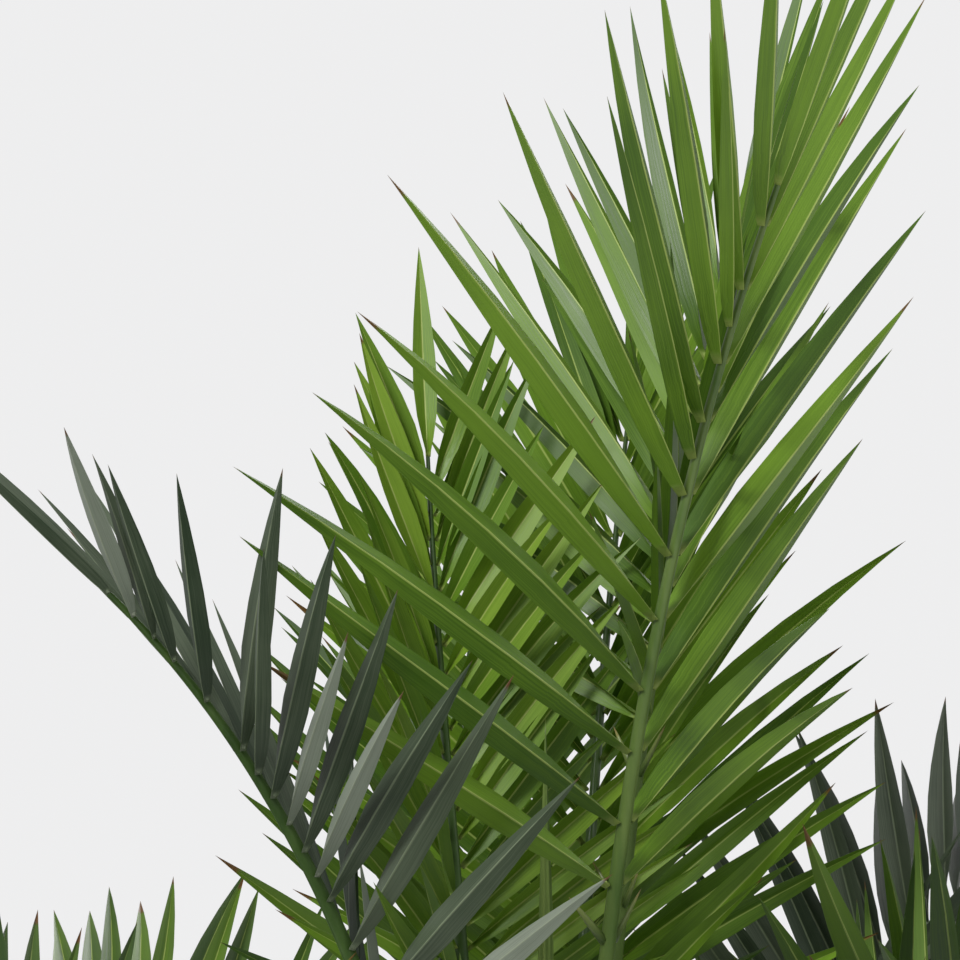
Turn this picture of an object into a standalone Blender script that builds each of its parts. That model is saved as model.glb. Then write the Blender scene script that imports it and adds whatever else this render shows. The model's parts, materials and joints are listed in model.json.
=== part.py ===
"""A young canary island date palm standing in a plain round pot.

Metres and degrees, with +Z up. The pot stands on the floor at the origin, and the front of the
plant looks towards -Y. The fronds leave the top of the trunk in one spiral, from the youngest in
the middle to the oldest round the outside, and each carries two rows of leaflets.
"""

import math
import random

import bpy
import numpy as np
from mathutils import Vector
from mathutils.bvhtree import BVHTree

# The clearance between neighbouring pieces
GAP = 0.0003

# Pot, a tapered shell with a rolled rim, and its fill
POT_HEIGHT = 0.262
POT_FOOT_RADIUS = 0.108
POT_RIM_RADIUS = 0.142
POT_WALL = 0.004
POT_FLOOR = 0.006
RIM_DEPTH = 0.022
RIM_OVERHANG = 0.006
POT_ROUNDING = 0.003
POT_SIDES = 40
MIX_TOP = 0.236
MIX_MOUND = 0.005
MIX_SIDES = 28

# Trunk, from the fill to the growing tip, with the stubs of cut fronds round it
TRUNK_FOOT = MIX_TOP + MIX_MOUND + GAP
TRUNK_TIP = 0.405
TRUNK_FOOT_RADIUS = 0.050
TRUNK_WIDEST_RADIUS = 0.068
TRUNK_WIDEST_HEIGHT = 0.315
TRUNK_FLARE = 0.007
TRUNK_SIDES = 26
STUB_ROWS = 8
STUB_RELIEF = 0.005
CROWN_ROWS = 6

# Spiral of fronds
FROND_COUNT = 25
GOLDEN_ANGLE = 137.5
FIRST_AZIMUTH = 25.0
INNER_RADIUS = 0.017
OUTER_RADIUS = 0.064

# One frond: its stalk, and the part of it that carries leaflets
FROND_LENGTH = 0.80
STALK_SHARE = 0.46
BASE_WIDTH = 0.020
STALK_WIDTH = 0.014
FOOT_SHARE = 0.12
TIP_WIDTH = 0.0034
THICKNESS_SHARE = 0.68
PATH_STEPS = 96
STALK_RINGS = (0.07, 0.2, 0.36, 0.52)
STALK_TEST_STEPS = 24
STALK_TEST_SWELL = 1.12

# Leaflets and the spines below them
LEAFLET_LENGTH = 0.245
LEAFLET_WIDTH = 0.0235
LEAFLET_PITCH = 0.0305
LEAFLET_FOOT = 0.0075
LAST_PAIR = 0.972
LEAFLET_WIDEST = 0.38
LEAFLET_DEPTH_SHARE = 0.0125
LEAFLET_DROOP = 0.07
SHINGLE_TURN = 24.0
END_LEAFLET_SHARE = 0.68
SPINE_LENGTH = 0.034
SPINE_FOOT = 0.006
SPINE_STATIONS = 3
CLEARANCE = 0.0006
OFF_THE_STALK = 0.09

# The unopened leaf in the middle
SPEAR_LENGTH = 0.47
SPEAR_RADIUS = 0.0075
SPEAR_SIDES = 8
SPEAR_PROFILE = [(0.8, 0.0), (1.0, 0.12), (0.85, 0.45), (0.5, 0.78), (0.0, 1.0)]


def lerp(start, end, share):
    return start + (end - start) * share


def unit(vector):
    return vector / np.linalg.norm(vector)


def material(name, colour, roughness):
    made = bpy.data.materials.new(name)
    made.use_nodes = True
    shader = made.node_tree.nodes["Principled BSDF"]
    shader.inputs["Base Color"].default_value = (*colour, 1.0)
    shader.inputs["Roughness"].default_value = roughness
    shader.inputs["Metallic"].default_value = 0.0
    made.diffuse_color = (*colour, 1.0)
    return made


def mesh_object(name, points, faces, surface, smooth=False):
    mesh = bpy.data.meshes.new(name)
    mesh.from_pydata([tuple(map(float, point)) for point in points], [], faces)
    mesh.validate()
    mesh.materials.append(surface)
    for polygon in mesh.polygons:
        polygon.use_smooth = smooth
    made = bpy.data.objects.new(name, mesh)
    bpy.context.scene.collection.objects.link(made)
    return made


def tree_of(points, faces):
    return BVHTree.FromPolygons([Vector(point) for point in points], faces)


def turned(profile, sides, radius_at=None):
    """Points and faces of a profile of (radius, height) turned round the Z axis, poles closed."""
    points, rows, faces = [], [], []
    for row, (radius, height) in enumerate(profile):
        if radius == 0:
            rows.append([len(points)])
            points.append((0.0, 0.0, height))
            continue
        rows.append(list(range(len(points), len(points) + sides)))
        for side in range(sides):
            angle = 2 * math.pi * side / sides
            reach = radius_at(row, side, radius) if radius_at else radius
            points.append((reach * math.cos(angle), reach * math.sin(angle), height))
    for low, high in zip(rows, rows[1:]):
        for side in range(sides):
            after = (side + 1) % sides
            if len(low) == 1:
                faces.append((low[0], high[after], high[side]))
            elif len(high) == 1:
                faces.append((low[side], low[after], high[0]))
            else:
                faces.append((low[side], low[after], high[after], high[side]))
    return points, faces


# Pot

def pot_radius(height):
    """The outside of the pot's wall at a height, below the rim."""
    return lerp(POT_FOOT_RADIUS, POT_RIM_RADIUS - RIM_OVERHANG, height / POT_HEIGHT)


def build_pot(surface):
    rim_foot = POT_HEIGHT - RIM_DEPTH
    inner_floor = pot_radius(POT_FLOOR) - POT_WALL
    inner_rim = pot_radius(POT_HEIGHT) - POT_WALL
    profile = [
        (0, 0),
        (POT_FOOT_RADIUS - POT_ROUNDING, 0),
        (POT_FOOT_RADIUS, POT_ROUNDING),
        (pot_radius(rim_foot), rim_foot),
        (POT_RIM_RADIUS - POT_ROUNDING, rim_foot),
        (POT_RIM_RADIUS, rim_foot + POT_ROUNDING),
        (POT_RIM_RADIUS, POT_HEIGHT - POT_ROUNDING),
        (POT_RIM_RADIUS - POT_ROUNDING, POT_HEIGHT),
        (inner_rim, POT_HEIGHT),
        (inner_floor, POT_FLOOR),
        (0, POT_FLOOR),
    ]
    points, faces = turned(profile, POT_SIDES)
    return mesh_object("pot", points, faces, surface, smooth=True)


def build_potting_mix(surface):
    """The fill, a hair clear of the pot, and mounded a little to the trunk's flat foot."""
    bottom = POT_FLOOR + GAP
    # A coarser ring's flats lie further in than its corners, so the corners keep the same gap.
    low_radius = (pot_radius(bottom) - POT_WALL) * math.cos(math.pi / POT_SIDES) - GAP
    top_radius = (pot_radius(MIX_TOP) - POT_WALL) * math.cos(math.pi / POT_SIDES) - GAP
    mound_foot = TRUNK_FOOT_RADIUS + 2 * TRUNK_FLARE
    profile = [
        (0, bottom),
        (low_radius, bottom),
        (top_radius, MIX_TOP),
        (lerp(mound_foot, top_radius, 0.5), MIX_TOP + 0.3 * MIX_MOUND),
        (mound_foot, MIX_TOP + MIX_MOUND),
        (0, MIX_TOP + MIX_MOUND),
    ]
    points, faces = turned(profile, MIX_SIDES)
    return mesh_object("potting_mix", points, faces, surface, smooth=False)


# Trunk

def trunk_radius(height):
    """The trunk's own line: a flared foot, a swollen middle, and a dome that closes at the tip."""
    if height <= TRUNK_WIDEST_HEIGHT:
        share = (height - TRUNK_FOOT) / (TRUNK_WIDEST_HEIGHT - TRUNK_FOOT)
        flare = TRUNK_FLARE * (1 - share) ** 4
        swell = math.sin(share * math.pi / 2)
        return flare + lerp(TRUNK_FOOT_RADIUS, TRUNK_WIDEST_RADIUS, swell)
    share = (height - TRUNK_WIDEST_HEIGHT) / (TRUNK_TIP - TRUNK_WIDEST_HEIGHT)
    return TRUNK_WIDEST_RADIUS * math.sqrt(max(0.0, 1 - share**2))


def trunk_profile():
    rows = [(0, TRUNK_FOOT)]
    for row in range(STUB_ROWS + 1):
        height = lerp(TRUNK_FOOT, TRUNK_WIDEST_HEIGHT, row / STUB_ROWS)
        rows.append((trunk_radius(height), height))
    for row in range(1, CROWN_ROWS):
        angle = math.pi / 2 * row / CROWN_ROWS
        height = lerp(TRUNK_WIDEST_HEIGHT, TRUNK_TIP, math.sin(angle))
        rows.append((trunk_radius(height), height))
    rows.append((0, TRUNK_TIP))
    return rows


def stub_radius(row, side, radius):
    """Stubs of cut fronds stand out in a lozenge pattern below the living crown."""
    if 1 < row < STUB_ROWS:
        return radius + (STUB_RELIEF if (row + side) % 2 else -STUB_RELIEF / 2)
    return radius


def build_trunk(surface):
    points, faces = turned(trunk_profile(), TRUNK_SIDES, stub_radius)
    split = []
    for face in faces:
        split.append(face[:3])
        if len(face) == 4:
            split.append((face[0], face[2], face[3]))
    mesh_object("trunk", points, split, surface, smooth=False)
    return points, split


# How each frond stands

def frond_plan(order):
    """A frond's sizes and lean by its place in the spiral, from 0 for the youngest open one."""
    age = order / (FROND_COUNT - 1)
    draw = random.Random(500 + order)
    plan = {
        "order": order,
        "azimuth": FIRST_AZIMUTH + GOLDEN_ANGLE * order,
        "rise": 86 - 50 * age**0.66 + draw.uniform(-3, 3),
        "fall": 76 - 120 * age**0.58 + draw.uniform(-7, 7),
        "bend": 1.35,
        "sweep": draw.uniform(-14, 14),
        "roll": draw.uniform(-12, 12),
        "length": FROND_LENGTH * lerp(1.0, 0.70, age) * draw.uniform(0.94, 1.05),
        "stalk": STALK_SHARE,
        "pitch": LEAFLET_PITCH,
        "leaflet": LEAFLET_LENGTH * lerp(1.0, 0.82, age),
        "lift": lerp(34, 24, age),
        "foot": lerp(INNER_RADIUS, OUTER_RADIUS, age**0.55),
        "colour": "frond_green",
    }
    plan.update(SEEN_FRONDS.get(order, {}))
    return plan


# The fronds at the front, that stand as they do in the plant
SEEN_FRONDS = {
    0: {"rise": 87.5, "fall": 74, "sweep": 0, "length": 0.76, "stalk": 0.62, "roll": 10},
    1: {"rise": 87, "fall": 78, "sweep": -60, "roll": 0, "length": 0.62, "stalk": 0.38, "leaflet": 0.18,
        "colour": "frond_lime"},
    2: {"azimuth": 290, "rise": 85, "fall": 66, "sweep": 30, "roll": 0, "length": 0.78, "stalk": 0.50,
        "leaflet": 0.284, "lift": 24, "pitch": 0.0355},
    3: {"rise": 81, "fall": 58, "sweep": 0, "roll": 0, "length": 0.70, "stalk": 0.38, "leaflet": 0.25},
    4: {"rise": 82, "fall": 40, "bend": 1.6, "sweep": 0, "roll": 0, "length": 0.615, "stalk": 0.44,
        "leaflet": 0.195, "lift": 42, "colour": "frond_dark"},
    5: {"rise": 68, "fall": 16, "sweep": 0, "roll": 0, "length": 0.62},
    6: {"rise": 50, "fall": -10, "sweep": 0, "length": 0.62},
    7: {"azimuth": 261, "rise": 55, "fall": 0, "sweep": 0, "length": 0.58},
    8: {"rise": 64, "fall": 15, "sweep": 0, "roll": 0, "length": 0.62, "colour": "frond_dark"},
    9: {"rise": 49, "fall": -10, "sweep": 0, "length": 0.60},
    10: {"rise": 66, "fall": 18, "sweep": 0, "roll": 0, "length": 0.60},
    11: {"rise": 72, "fall": 34, "sweep": 0, "roll": 0, "length": 0.60},
}

# The order in which the fronds take up their space
PLACING_ORDER = [2, 4, 0, 3, 1, 5, 8, 10] + [6, 7, 9] + list(range(11, FROND_COUNT))
# Fronds that arch over wide open space come in two lengths
SPLIT_FROM = 5
SPLIT_SHARE = 0.56


def width_along(share):
    """The stalk's width along the frond: a broad foot, a long even stalk, a fine tip."""
    if share < FOOT_SHARE:
        return lerp(BASE_WIDTH, STALK_WIDTH, math.sin(share / FOOT_SHARE * math.pi / 2))
    return lerp(STALK_WIDTH, TIP_WIDTH, ((share - FOOT_SHARE) / (1 - FOOT_SHARE)) ** 1.15)


def path_of(plan, trunk_tree):
    """Positions and directions down the middle of a frond, from its seat on the trunk."""
    azimuth = math.radians(plan["azimuth"])
    foot = plan["foot"]
    above = Vector((foot * math.cos(azimuth), foot * math.sin(azimuth), 2 * TRUNK_TIP))
    seat, normal, _, _ = trunk_tree.ray_cast(above, Vector((0, 0, -1)))
    seat_normal = np.array(normal)
    step = plan["length"] / PATH_STEPS
    place = np.array(seat) + seat_normal * GAP
    rows = []
    for index in range(PATH_STEPS + 1):
        share = index / PATH_STEPS
        rise = math.radians(lerp(plan["rise"], plan["fall"], share ** plan["bend"]))
        turn = azimuth + math.radians(plan["sweep"]) * share
        along = np.array((math.cos(rise) * math.cos(turn), math.cos(rise) * math.sin(turn), math.sin(rise)))
        left = np.array((-math.sin(turn), math.cos(turn), 0.0))
        upper = np.cross(along, left)
        roll = math.radians(plan["roll"])
        side = left * math.cos(roll) + upper * math.sin(roll)
        rows.append((place.copy(), along, side, np.cross(along, side)))
        place = place + along * step
    return rows, seat_normal


def point_on(path, share):
    """Place, forward, sideways and upper directions at a share of the frond's length."""
    index = min(max(share, 0.0), 1.0) * PATH_STEPS
    low = min(int(index), PATH_STEPS - 1)
    part = index - low
    found = [lerp(first, second, part) for first, second in zip(path[low], path[low + 1])]
    return found[0], unit(found[1]), unit(found[2]), unit(found[3])


def ring_at(path, share):
    """Four corners of the stalk: upper left, upper right, lower right, lower left."""
    place, _, side, upper = point_on(path, share)
    half = width_along(share) / 2
    deep = half * THICKNESS_SHARE
    return [
        place + side * half * 0.8 + upper * deep,
        place - side * half * 0.8 + upper * deep,
        place - side * half - upper * deep,
        place + side * half - upper * deep,
    ]


def seat_ring(path, seat_normal):
    """The foot's four corners, moved along the stalk onto the plane a hair off the trunk."""
    place, along, _, _ = path[0]
    moved = []
    for corner in ring_at(path, 0.0):
        back = np.dot(place - corner, seat_normal) / np.dot(along, seat_normal)
        moved.append(corner + along * back)
    return moved


def stations_of(plan):
    """Where the spines and the pairs of leaflets leave the stalk, with their sizes and angles."""
    draw = random.Random(70 + plan["order"])
    blade = plan["length"] * (1 - plan["stalk"])
    pairs = round(blade / plan["pitch"])
    stations = []
    for index in range(SPINE_STATIONS):
        share = plan["stalk"] * lerp(0.62, 0.93, index / (SPINE_STATIONS - 1))
        pair = [spine(draw, index) for _ in (0, 1)]
        stations.append({"share": share, "spine": True, "pair": pair})
    for index in range(pairs):
        along = index / (pairs - 1)
        share = lerp(plan["stalk"], LAST_PAIR, along)
        share += draw.uniform(-0.1, 0.1) / pairs * (1 - plan["stalk"])
        pair = [leaflet(draw, plan, along) for _ in (0, 1)]
        stations.append({"share": share, "spine": False, "pair": pair})
    return stations


def spine(draw, index):
    growing = lerp(0.55, 1.0, index / (SPINE_STATIONS - 1))
    return {
        "length": SPINE_LENGTH * growing * draw.uniform(0.85, 1.1),
        "angle": draw.uniform(34, 46),
        "lift": draw.uniform(10, 30),
    }


def leaflet(draw, plan, along):
    """One leaflet's length, forward angle and lift at a share of the way along the blade."""
    fullness = 0.85 + 0.15 * math.sin(math.pi * min(1.0, along * 1.15) ** 0.8)
    ending = lerp(1.0, 0.80, max(0.0, along - 0.7) / 0.3)
    return {
        "length": plan["leaflet"] * fullness * ending * draw.uniform(0.93, 1.06),
        "angle": lerp(63, 20, along**1.1) + draw.uniform(-4, 4),
        "lift": plan["lift"] * lerp(1.0, 0.7, along) + draw.uniform(-5, 5),
        "droop": LEAFLET_DROOP * draw.uniform(0.4, 1.6),
        "turn": SHINGLE_TURN + draw.uniform(-5, 5),
    }


def leaflet_frame(path, share, hand, made):
    """Start, direction, and the blade's own width and upper directions, for one leaflet."""
    place, along, side, upper = point_on(path, share)
    angle = math.radians(made["angle"])
    lift = math.radians(made["lift"])
    outward = side * hand * math.cos(lift) + upper * math.sin(lift)
    direction = unit(along * math.cos(angle) + outward * math.sin(angle))
    across = unit(along - direction * np.dot(along, direction))
    face = np.cross(across, direction) * hand
    face = face if np.dot(face, upper) > 0 else -face
    turn = math.radians(made.get("turn", 0.0))
    width = across * math.cos(turn) + face * math.sin(turn)
    face = face * math.cos(turn) - across * math.sin(turn)
    start = place + side * hand * width_along(share) * 0.45
    return start, direction, width, face


def leaflet_points(path, share, hand, made, swell=0.0):
    """Two edges and the keel at the widest place, then the tip."""
    start, direction, width, face = leaflet_frame(path, share, hand, made)
    length = made["length"]
    half = LEAFLET_WIDTH / 2 * min(1.0, length / 0.2) ** 0.5 + swell
    deep = LEAFLET_DEPTH_SHARE * length + 2 * swell

    def middle(along):
        fall = np.array((0.0, 0.0, -made["droop"])) * length * along**2
        return start + direction * length * along + fall

    centre = middle(LEAFLET_WIDEST) + face * (0.4 * deep)
    tip = middle(1.0) + direction * swell
    return [centre - width * half, centre + width * half, centre - face * deep, tip]


def foot_shares(plan, station, hand):
    foot = SPINE_FOOT if station["spine"] else LEAFLET_FOOT
    half = foot / plan["length"] / 2
    return station["share"] - half, station["share"] + half


def try_leaflet(path, plan, station, hand, made):
    """The candidate as a closed shape a little over size, starting just off the stalk."""
    points = leaflet_points(path, station["share"], hand, made, CLEARANCE)
    low, high = foot_shares(plan, station, hand)
    before, after = ring_at(path, low), ring_at(path, high)
    upper, lower = (0, 3) if hand > 0 else (1, 2)
    corners = [before[upper], after[upper], after[lower], before[lower]]
    targets = [points[0], points[1], points[2], points[2]]
    feet = [lerp(corner, target, OFF_THE_STALK) for corner, target in zip(corners, targets)]
    faces = [(0, 1, 5, 4), (1, 2, 6, 5), (2, 3, 6), (3, 0, 4, 6), (0, 3, 2, 1)]
    faces += [(4, 5, 7), (5, 6, 7), (6, 4, 7)]
    return feet + points, faces


# Turns tried in order when a leaflet would touch something: forward angle, lift, share of length
TRIES = [
    (0, 0, 1), (5, 8, 1), (-5, -8, 1), (0, 16, 1), (0, -16, 1),
    (8, 0, 0.8), (-8, 14, 0.8), (0, 0, 0.6), (6, 18, 0.5),
]


def settle_spine(path, station, place, others):
    """Leaves a spine out where something stands in its way."""
    made = station["pair"][place]
    start, direction, width, _ = leaflet_frame(path, station["share"], 1 - 2 * place, made)
    points = [start + width * CLEARANCE, start - width * CLEARANCE, start + direction * (made["length"] + CLEARANCE)]
    shape = tree_of(points, [(0, 1, 2)])
    if any(shape.overlap(other) for other in others):
        station["pair"][place] = None


def settle(plan, path, stations, others):
    """Turns or shortens each leaflet until it is clear of all that stands, or leaves it out."""
    own_points, own_faces = [], []
    for station in stations:
        for place, hand in enumerate((1, -1)):
            if station["spine"]:
                settle_spine(path, station, place, others)
                continue
            made = station["pair"][place]
            chosen = None
            own = tree_of(own_points, own_faces) if own_points else None
            for angle, lift, share in TRIES:
                changed = dict(made)
                changed["angle"] += angle
                changed["lift"] += lift
                changed["length"] *= share
                points, faces = try_leaflet(path, plan, station, hand, changed)
                shape = tree_of(points, faces)
                if own and shape.overlap(own):
                    continue
                if any(shape.overlap(other) for other in others):
                    continue
                chosen = changed
                break
            station["pair"][place] = chosen
            if chosen:
                count = len(own_points)
                own_points += points
                own_faces += [tuple(corner + count for corner in face) for face in faces]
    return tree_of(own_points, own_faces)


def stalk_shares(plan, stations, begin, end):
    """Shares at which the stalk has a ring: plain ones down the stalk, and two to each station."""
    shares = [plan["stalk"] * part for part in STALK_RINGS]
    for station in stations:
        low, high = foot_shares(plan, station, 1)
        shares += [low, high]
    kept = [share for share in shares if begin < share < end]
    return [begin] + kept + [end]


def split_place(plan, stations):
    """Midway between the two stations nearest the bend."""
    shares = [station["share"] for station in stations]
    after = next(index for index, share in enumerate(shares) if share > SPLIT_SHARE)
    return (shares[after - 1] + shares[after]) / 2


def build_length(name, plan, path, seat_normal, stations, begin, end, surface):
    """One length of a frond as a single closed mesh."""
    shares = stalk_shares(plan, stations, begin, end)
    points, faces, rings = [], [], []
    for share in shares:
        ring = seat_ring(path, seat_normal) if share == 0.0 else ring_at(path, share)
        rings.append(list(range(len(points), len(points) + 4)))
        points += ring
    starts = {}
    for station in stations:
        low, _ = foot_shares(plan, station, 1)
        if low in shares:
            starts[shares.index(low)] = station
    faces.append(tuple(reversed(rings[0])))
    for index, (near, far) in enumerate(zip(rings, rings[1:])):
        faces.append((near[0], near[1], far[1], far[0]))
        faces.append((near[2], near[3], far[3], far[2]))
        station = starts.get(index)
        for place, (upper, lower) in enumerate(((0, 3), (1, 2))):
            corners = [near[upper], far[upper], far[lower], near[lower]]
            made = station["pair"][place] if station else None
            grow(points, faces, corners, path, station, 1 - 2 * place, made)
    finish_end(points, faces, rings[-1], path, plan, end)
    mesh_object(name, points, faces, surface)


def blade_faces(corners, near, far, keel, tip):
    """A leaflet's faces, from the four corners of its foot by its widest place to its tip."""
    a, b, c, d = corners
    foot = [(a, b, far), (a, far, near), (b, c, keel), (b, keel, far), (c, d, keel)]
    return foot + [(d, a, near), (d, near, keel), (near, far, tip), (far, keel, tip), (keel, near, tip)]


def grow(points, faces, corners, path, station, hand, made):
    """A leaflet or a spine out of one side of the stalk, or the plain side where none stands."""
    count = len(points)
    a, b, c, d = corners
    if not made:
        new = [(a, b, c, d)]
    elif station["spine"]:
        start, direction, _, _ = leaflet_frame(path, station["share"], hand, made)
        points.append(start + direction * made["length"])
        new = [(a, b, count), (b, c, count), (c, d, count), (d, a, count)]
    else:
        points += leaflet_points(path, station["share"], hand, made)
        near, far, keel, tip = count, count + 1, count + 2, count + 3
        new = blade_faces(corners, near, far, keel, tip)
    faces += new if hand > 0 else [tuple(reversed(face)) for face in new]


def finish_end(points, faces, ring, path, plan, end):
    """A flat cut where the frond goes on, and the last leaflet at its tip."""
    if end < 1.0:
        faces.append(tuple(ring))
        return
    place, along, side, upper = point_on(path, 1.0)
    length = plan["leaflet"] * END_LEAFLET_SHARE
    centre = place + along * length * LEAFLET_WIDEST
    half = LEAFLET_WIDTH / 2 * END_LEAFLET_SHARE
    deep = LEAFLET_DEPTH_SHARE * length
    left = len(points)
    points += [centre + side * half + upper * 0.4 * deep, centre - side * half + upper * 0.4 * deep]
    points += [centre - upper * deep, place + along * length]
    faces += blade_faces(ring, left, left + 1, left + 2, left + 3)


def stalk_mesh(plan, path, seat_normal):
    """The bare stalk, a little over size, for the other fronds to keep clear of."""
    points, faces = [], []
    for index in range(STALK_TEST_STEPS + 1):
        share = index / STALK_TEST_STEPS
        ring = seat_ring(path, seat_normal) if share == 0.0 else ring_at(path, share)
        centre = sum(ring) / 4
        points += [centre + (corner - centre) * STALK_TEST_SWELL for corner in ring]
        if index:
            now, last = 4 * index, 4 * (index - 1)
            for corner in range(4):
                after = (corner + 1) % 4
                faces.append((last + corner, last + after, now + after, now + corner))
    return points, faces


def build_spear(surface):
    """The newest leaf, still folded into one slim upright blade."""
    foot = TRUNK_TIP + GAP
    profile = [(0, foot)]
    for width, height in SPEAR_PROFILE:
        profile.append((SPEAR_RADIUS * width, foot + SPEAR_LENGTH * height))
    points, faces = turned(profile, SPEAR_SIDES)
    mesh_object("spear_leaf", points, faces, surface, smooth=True)
    return points, faces


def build_fronds(trunk_points, trunk_faces, surfaces):
    trunk_tree = tree_of(trunk_points, trunk_faces)
    spear_points, spear_faces = build_spear(surfaces["frond_lime"])
    plans, paths, stalks = {}, {}, {}
    for order in range(FROND_COUNT):
        plan = frond_plan(order)
        path, seat_normal = path_of(plan, trunk_tree)
        plans[order], paths[order] = plan, (path, seat_normal)
        stalks[order] = tree_of(*stalk_mesh(plan, path, seat_normal))
    standing = [trunk_tree, tree_of(spear_points, spear_faces)]
    for order in PLACING_ORDER:
        plan, (path, seat_normal) = plans[order], paths[order]
        stations = stations_of(plan)
        others = standing + [tree for number, tree in stalks.items() if number != order]
        standing.append(settle(plan, path, stations, others))
        surface = surfaces[plan["colour"]]
        name = f"frond_{order + 1:02d}"
        if order < SPLIT_FROM:
            build_length(name, plan, path, seat_normal, stations, 0.0, 1.0, surface)
            continue
        cut = split_place(plan, stations)
        half_gap = GAP / 2 / plan["length"]
        build_length(name + "_inner", plan, path, seat_normal, stations, 0.0, cut - half_gap, surface)
        build_length(name + "_outer", plan, path, seat_normal, stations, cut + half_gap, 1.0, surface)


def build_palm():
    for old in list(bpy.data.objects):
        bpy.data.objects.remove(old)
    build_pot(material("pot_plastic", (0.055, 0.056, 0.058), 0.55))
    build_potting_mix(material("potting_mix", (0.045, 0.030, 0.020), 0.95))
    points, faces = build_trunk(material("trunk_fibre", (0.150, 0.090, 0.050), 0.90))
    surfaces = {
        "frond_green": material("frond_green", (0.070, 0.150, 0.026), 0.42),
        "frond_dark": material("frond_dark", (0.050, 0.085, 0.048), 0.45),
        "frond_lime": material("frond_lime", (0.180, 0.300, 0.040), 0.42),
    }
    build_fronds(points, faces, surfaces)


build_palm()
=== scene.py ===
"""The dressed model of a young canary island date palm in a plain round pot."""

import json
import math
import random

import bpy
import numpy as np
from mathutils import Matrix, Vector
from mathutils.bvhtree import BVHTree

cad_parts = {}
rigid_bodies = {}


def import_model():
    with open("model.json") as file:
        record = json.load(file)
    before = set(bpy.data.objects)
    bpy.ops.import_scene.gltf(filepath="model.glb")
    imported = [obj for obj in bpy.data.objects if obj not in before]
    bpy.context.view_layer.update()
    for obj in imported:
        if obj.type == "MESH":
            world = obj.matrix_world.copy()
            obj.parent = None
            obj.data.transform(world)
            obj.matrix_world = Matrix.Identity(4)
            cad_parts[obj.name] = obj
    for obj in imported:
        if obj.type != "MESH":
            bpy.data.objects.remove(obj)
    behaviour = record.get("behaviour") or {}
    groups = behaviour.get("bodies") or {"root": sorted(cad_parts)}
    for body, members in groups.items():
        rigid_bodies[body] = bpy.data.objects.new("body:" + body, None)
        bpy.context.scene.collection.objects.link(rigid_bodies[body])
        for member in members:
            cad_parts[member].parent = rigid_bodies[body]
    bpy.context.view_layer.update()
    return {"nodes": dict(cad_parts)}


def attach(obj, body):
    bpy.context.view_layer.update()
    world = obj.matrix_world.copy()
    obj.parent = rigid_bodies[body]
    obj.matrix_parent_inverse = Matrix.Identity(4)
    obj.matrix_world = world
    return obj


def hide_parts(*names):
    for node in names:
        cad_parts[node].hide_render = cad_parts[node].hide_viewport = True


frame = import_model()

# Studio
# The plant was photographed close up before a pale backdrop, in light that comes softly from all
# sides and a little more from above and the left. The camera is level with the upper crown.

CAMERA_PLACE = (-0.036, -2.6, 1.0)
SEEN_HEIGHT = 0.528
FARTHEST_SEEN = 100.0
AMBIENT_COLOUR = (0.995, 0.995, 1.0, 1.0)
AMBIENT_STRENGTH = 0.42
BACKDROP_STRENGTH = 0.86
FLOOR_RADIUS = 6.0
FLOOR_SIDES = 96
FLOOR_DROP = 0.0005
FLOOR_GREYS = [(0.3, (0.78, 0.78, 0.79)), (0.7, (0.81, 0.81, 0.82))]


def tree_node(tree, kind, values=(), **settings):
    """A node with its settings, and its inputs linked to sockets or set to values."""
    made = tree.nodes.new(kind)
    for name, value in settings.items():
        setattr(made, name, value)
    for key, value in values:
        if isinstance(value, bpy.types.NodeSocket):
            tree.links.new(value, made.inputs[key])
        else:
            made.inputs[key].default_value = value
    return made


def shown(name, data):
    """Puts the camera, a lamp or a mesh in the scene."""
    made = bpy.data.objects.new(name, data)
    bpy.context.scene.collection.objects.link(made)
    return made


camera_data = bpy.data.cameras.new("camera")
camera_data.angle = 2 * math.atan(SEEN_HEIGHT / 2 / -CAMERA_PLACE[1])
camera_data.clip_end = FARTHEST_SEEN
camera = shown("camera", camera_data)
camera.location = CAMERA_PLACE
camera.rotation_euler = (math.pi / 2, 0, 0)
bpy.context.scene.camera = camera

# The backdrop is brighter to look at than the light it gives
world = bpy.data.worlds.new("studio")
world.use_nodes = True
backdrop = world.node_tree.nodes["Background"]
backdrop.inputs["Color"].default_value = AMBIENT_COLOUR
looked_at = tree_node(world.node_tree, "ShaderNodeLightPath").outputs["Is Camera Ray"]
strength = tree_node(world.node_tree, "ShaderNodeMapRange",
                     [("Value", looked_at), ("To Min", AMBIENT_STRENGTH), ("To Max", BACKDROP_STRENGTH)])
world.node_tree.links.new(strength.outputs["Result"], backdrop.inputs["Strength"])
bpy.context.scene.world = world
bpy.context.scene.view_settings.view_transform = "Standard"


def area_light(name, place, target, size, power):
    """A soft square lamp, turned to a target."""
    data = bpy.data.lights.new(name, "AREA")
    data.size = size
    data.energy = power
    lamp = shown(name, data)
    lamp.location = place
    lamp.rotation_euler = (Vector(target) - Vector(place)).to_track_quat("-Z", "Y").to_euler()


area_light("key_light", place=(-1.8, -2.6, 3.4), target=(0, 0, 0.9), size=1.3, power=105)
area_light("fill_light", place=(2.8, -1.4, 2.0), target=(0, 0, 0.8), size=2.2, power=22)
area_light("back_light", place=(0.8, 3.0, 2.8), target=(0, 0, 0.9), size=2.0, power=50)


def plain_material(name, roughness, specular=0.5):
    """A Principled material and its tree, for a section to build on."""
    made = bpy.data.materials.new(name)
    made.use_nodes = True
    inputs = made.node_tree.nodes["Principled BSDF"].inputs
    inputs["Roughness"].default_value = roughness
    inputs["Specular IOR Level"].default_value = specular
    return made, made.node_tree


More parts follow.
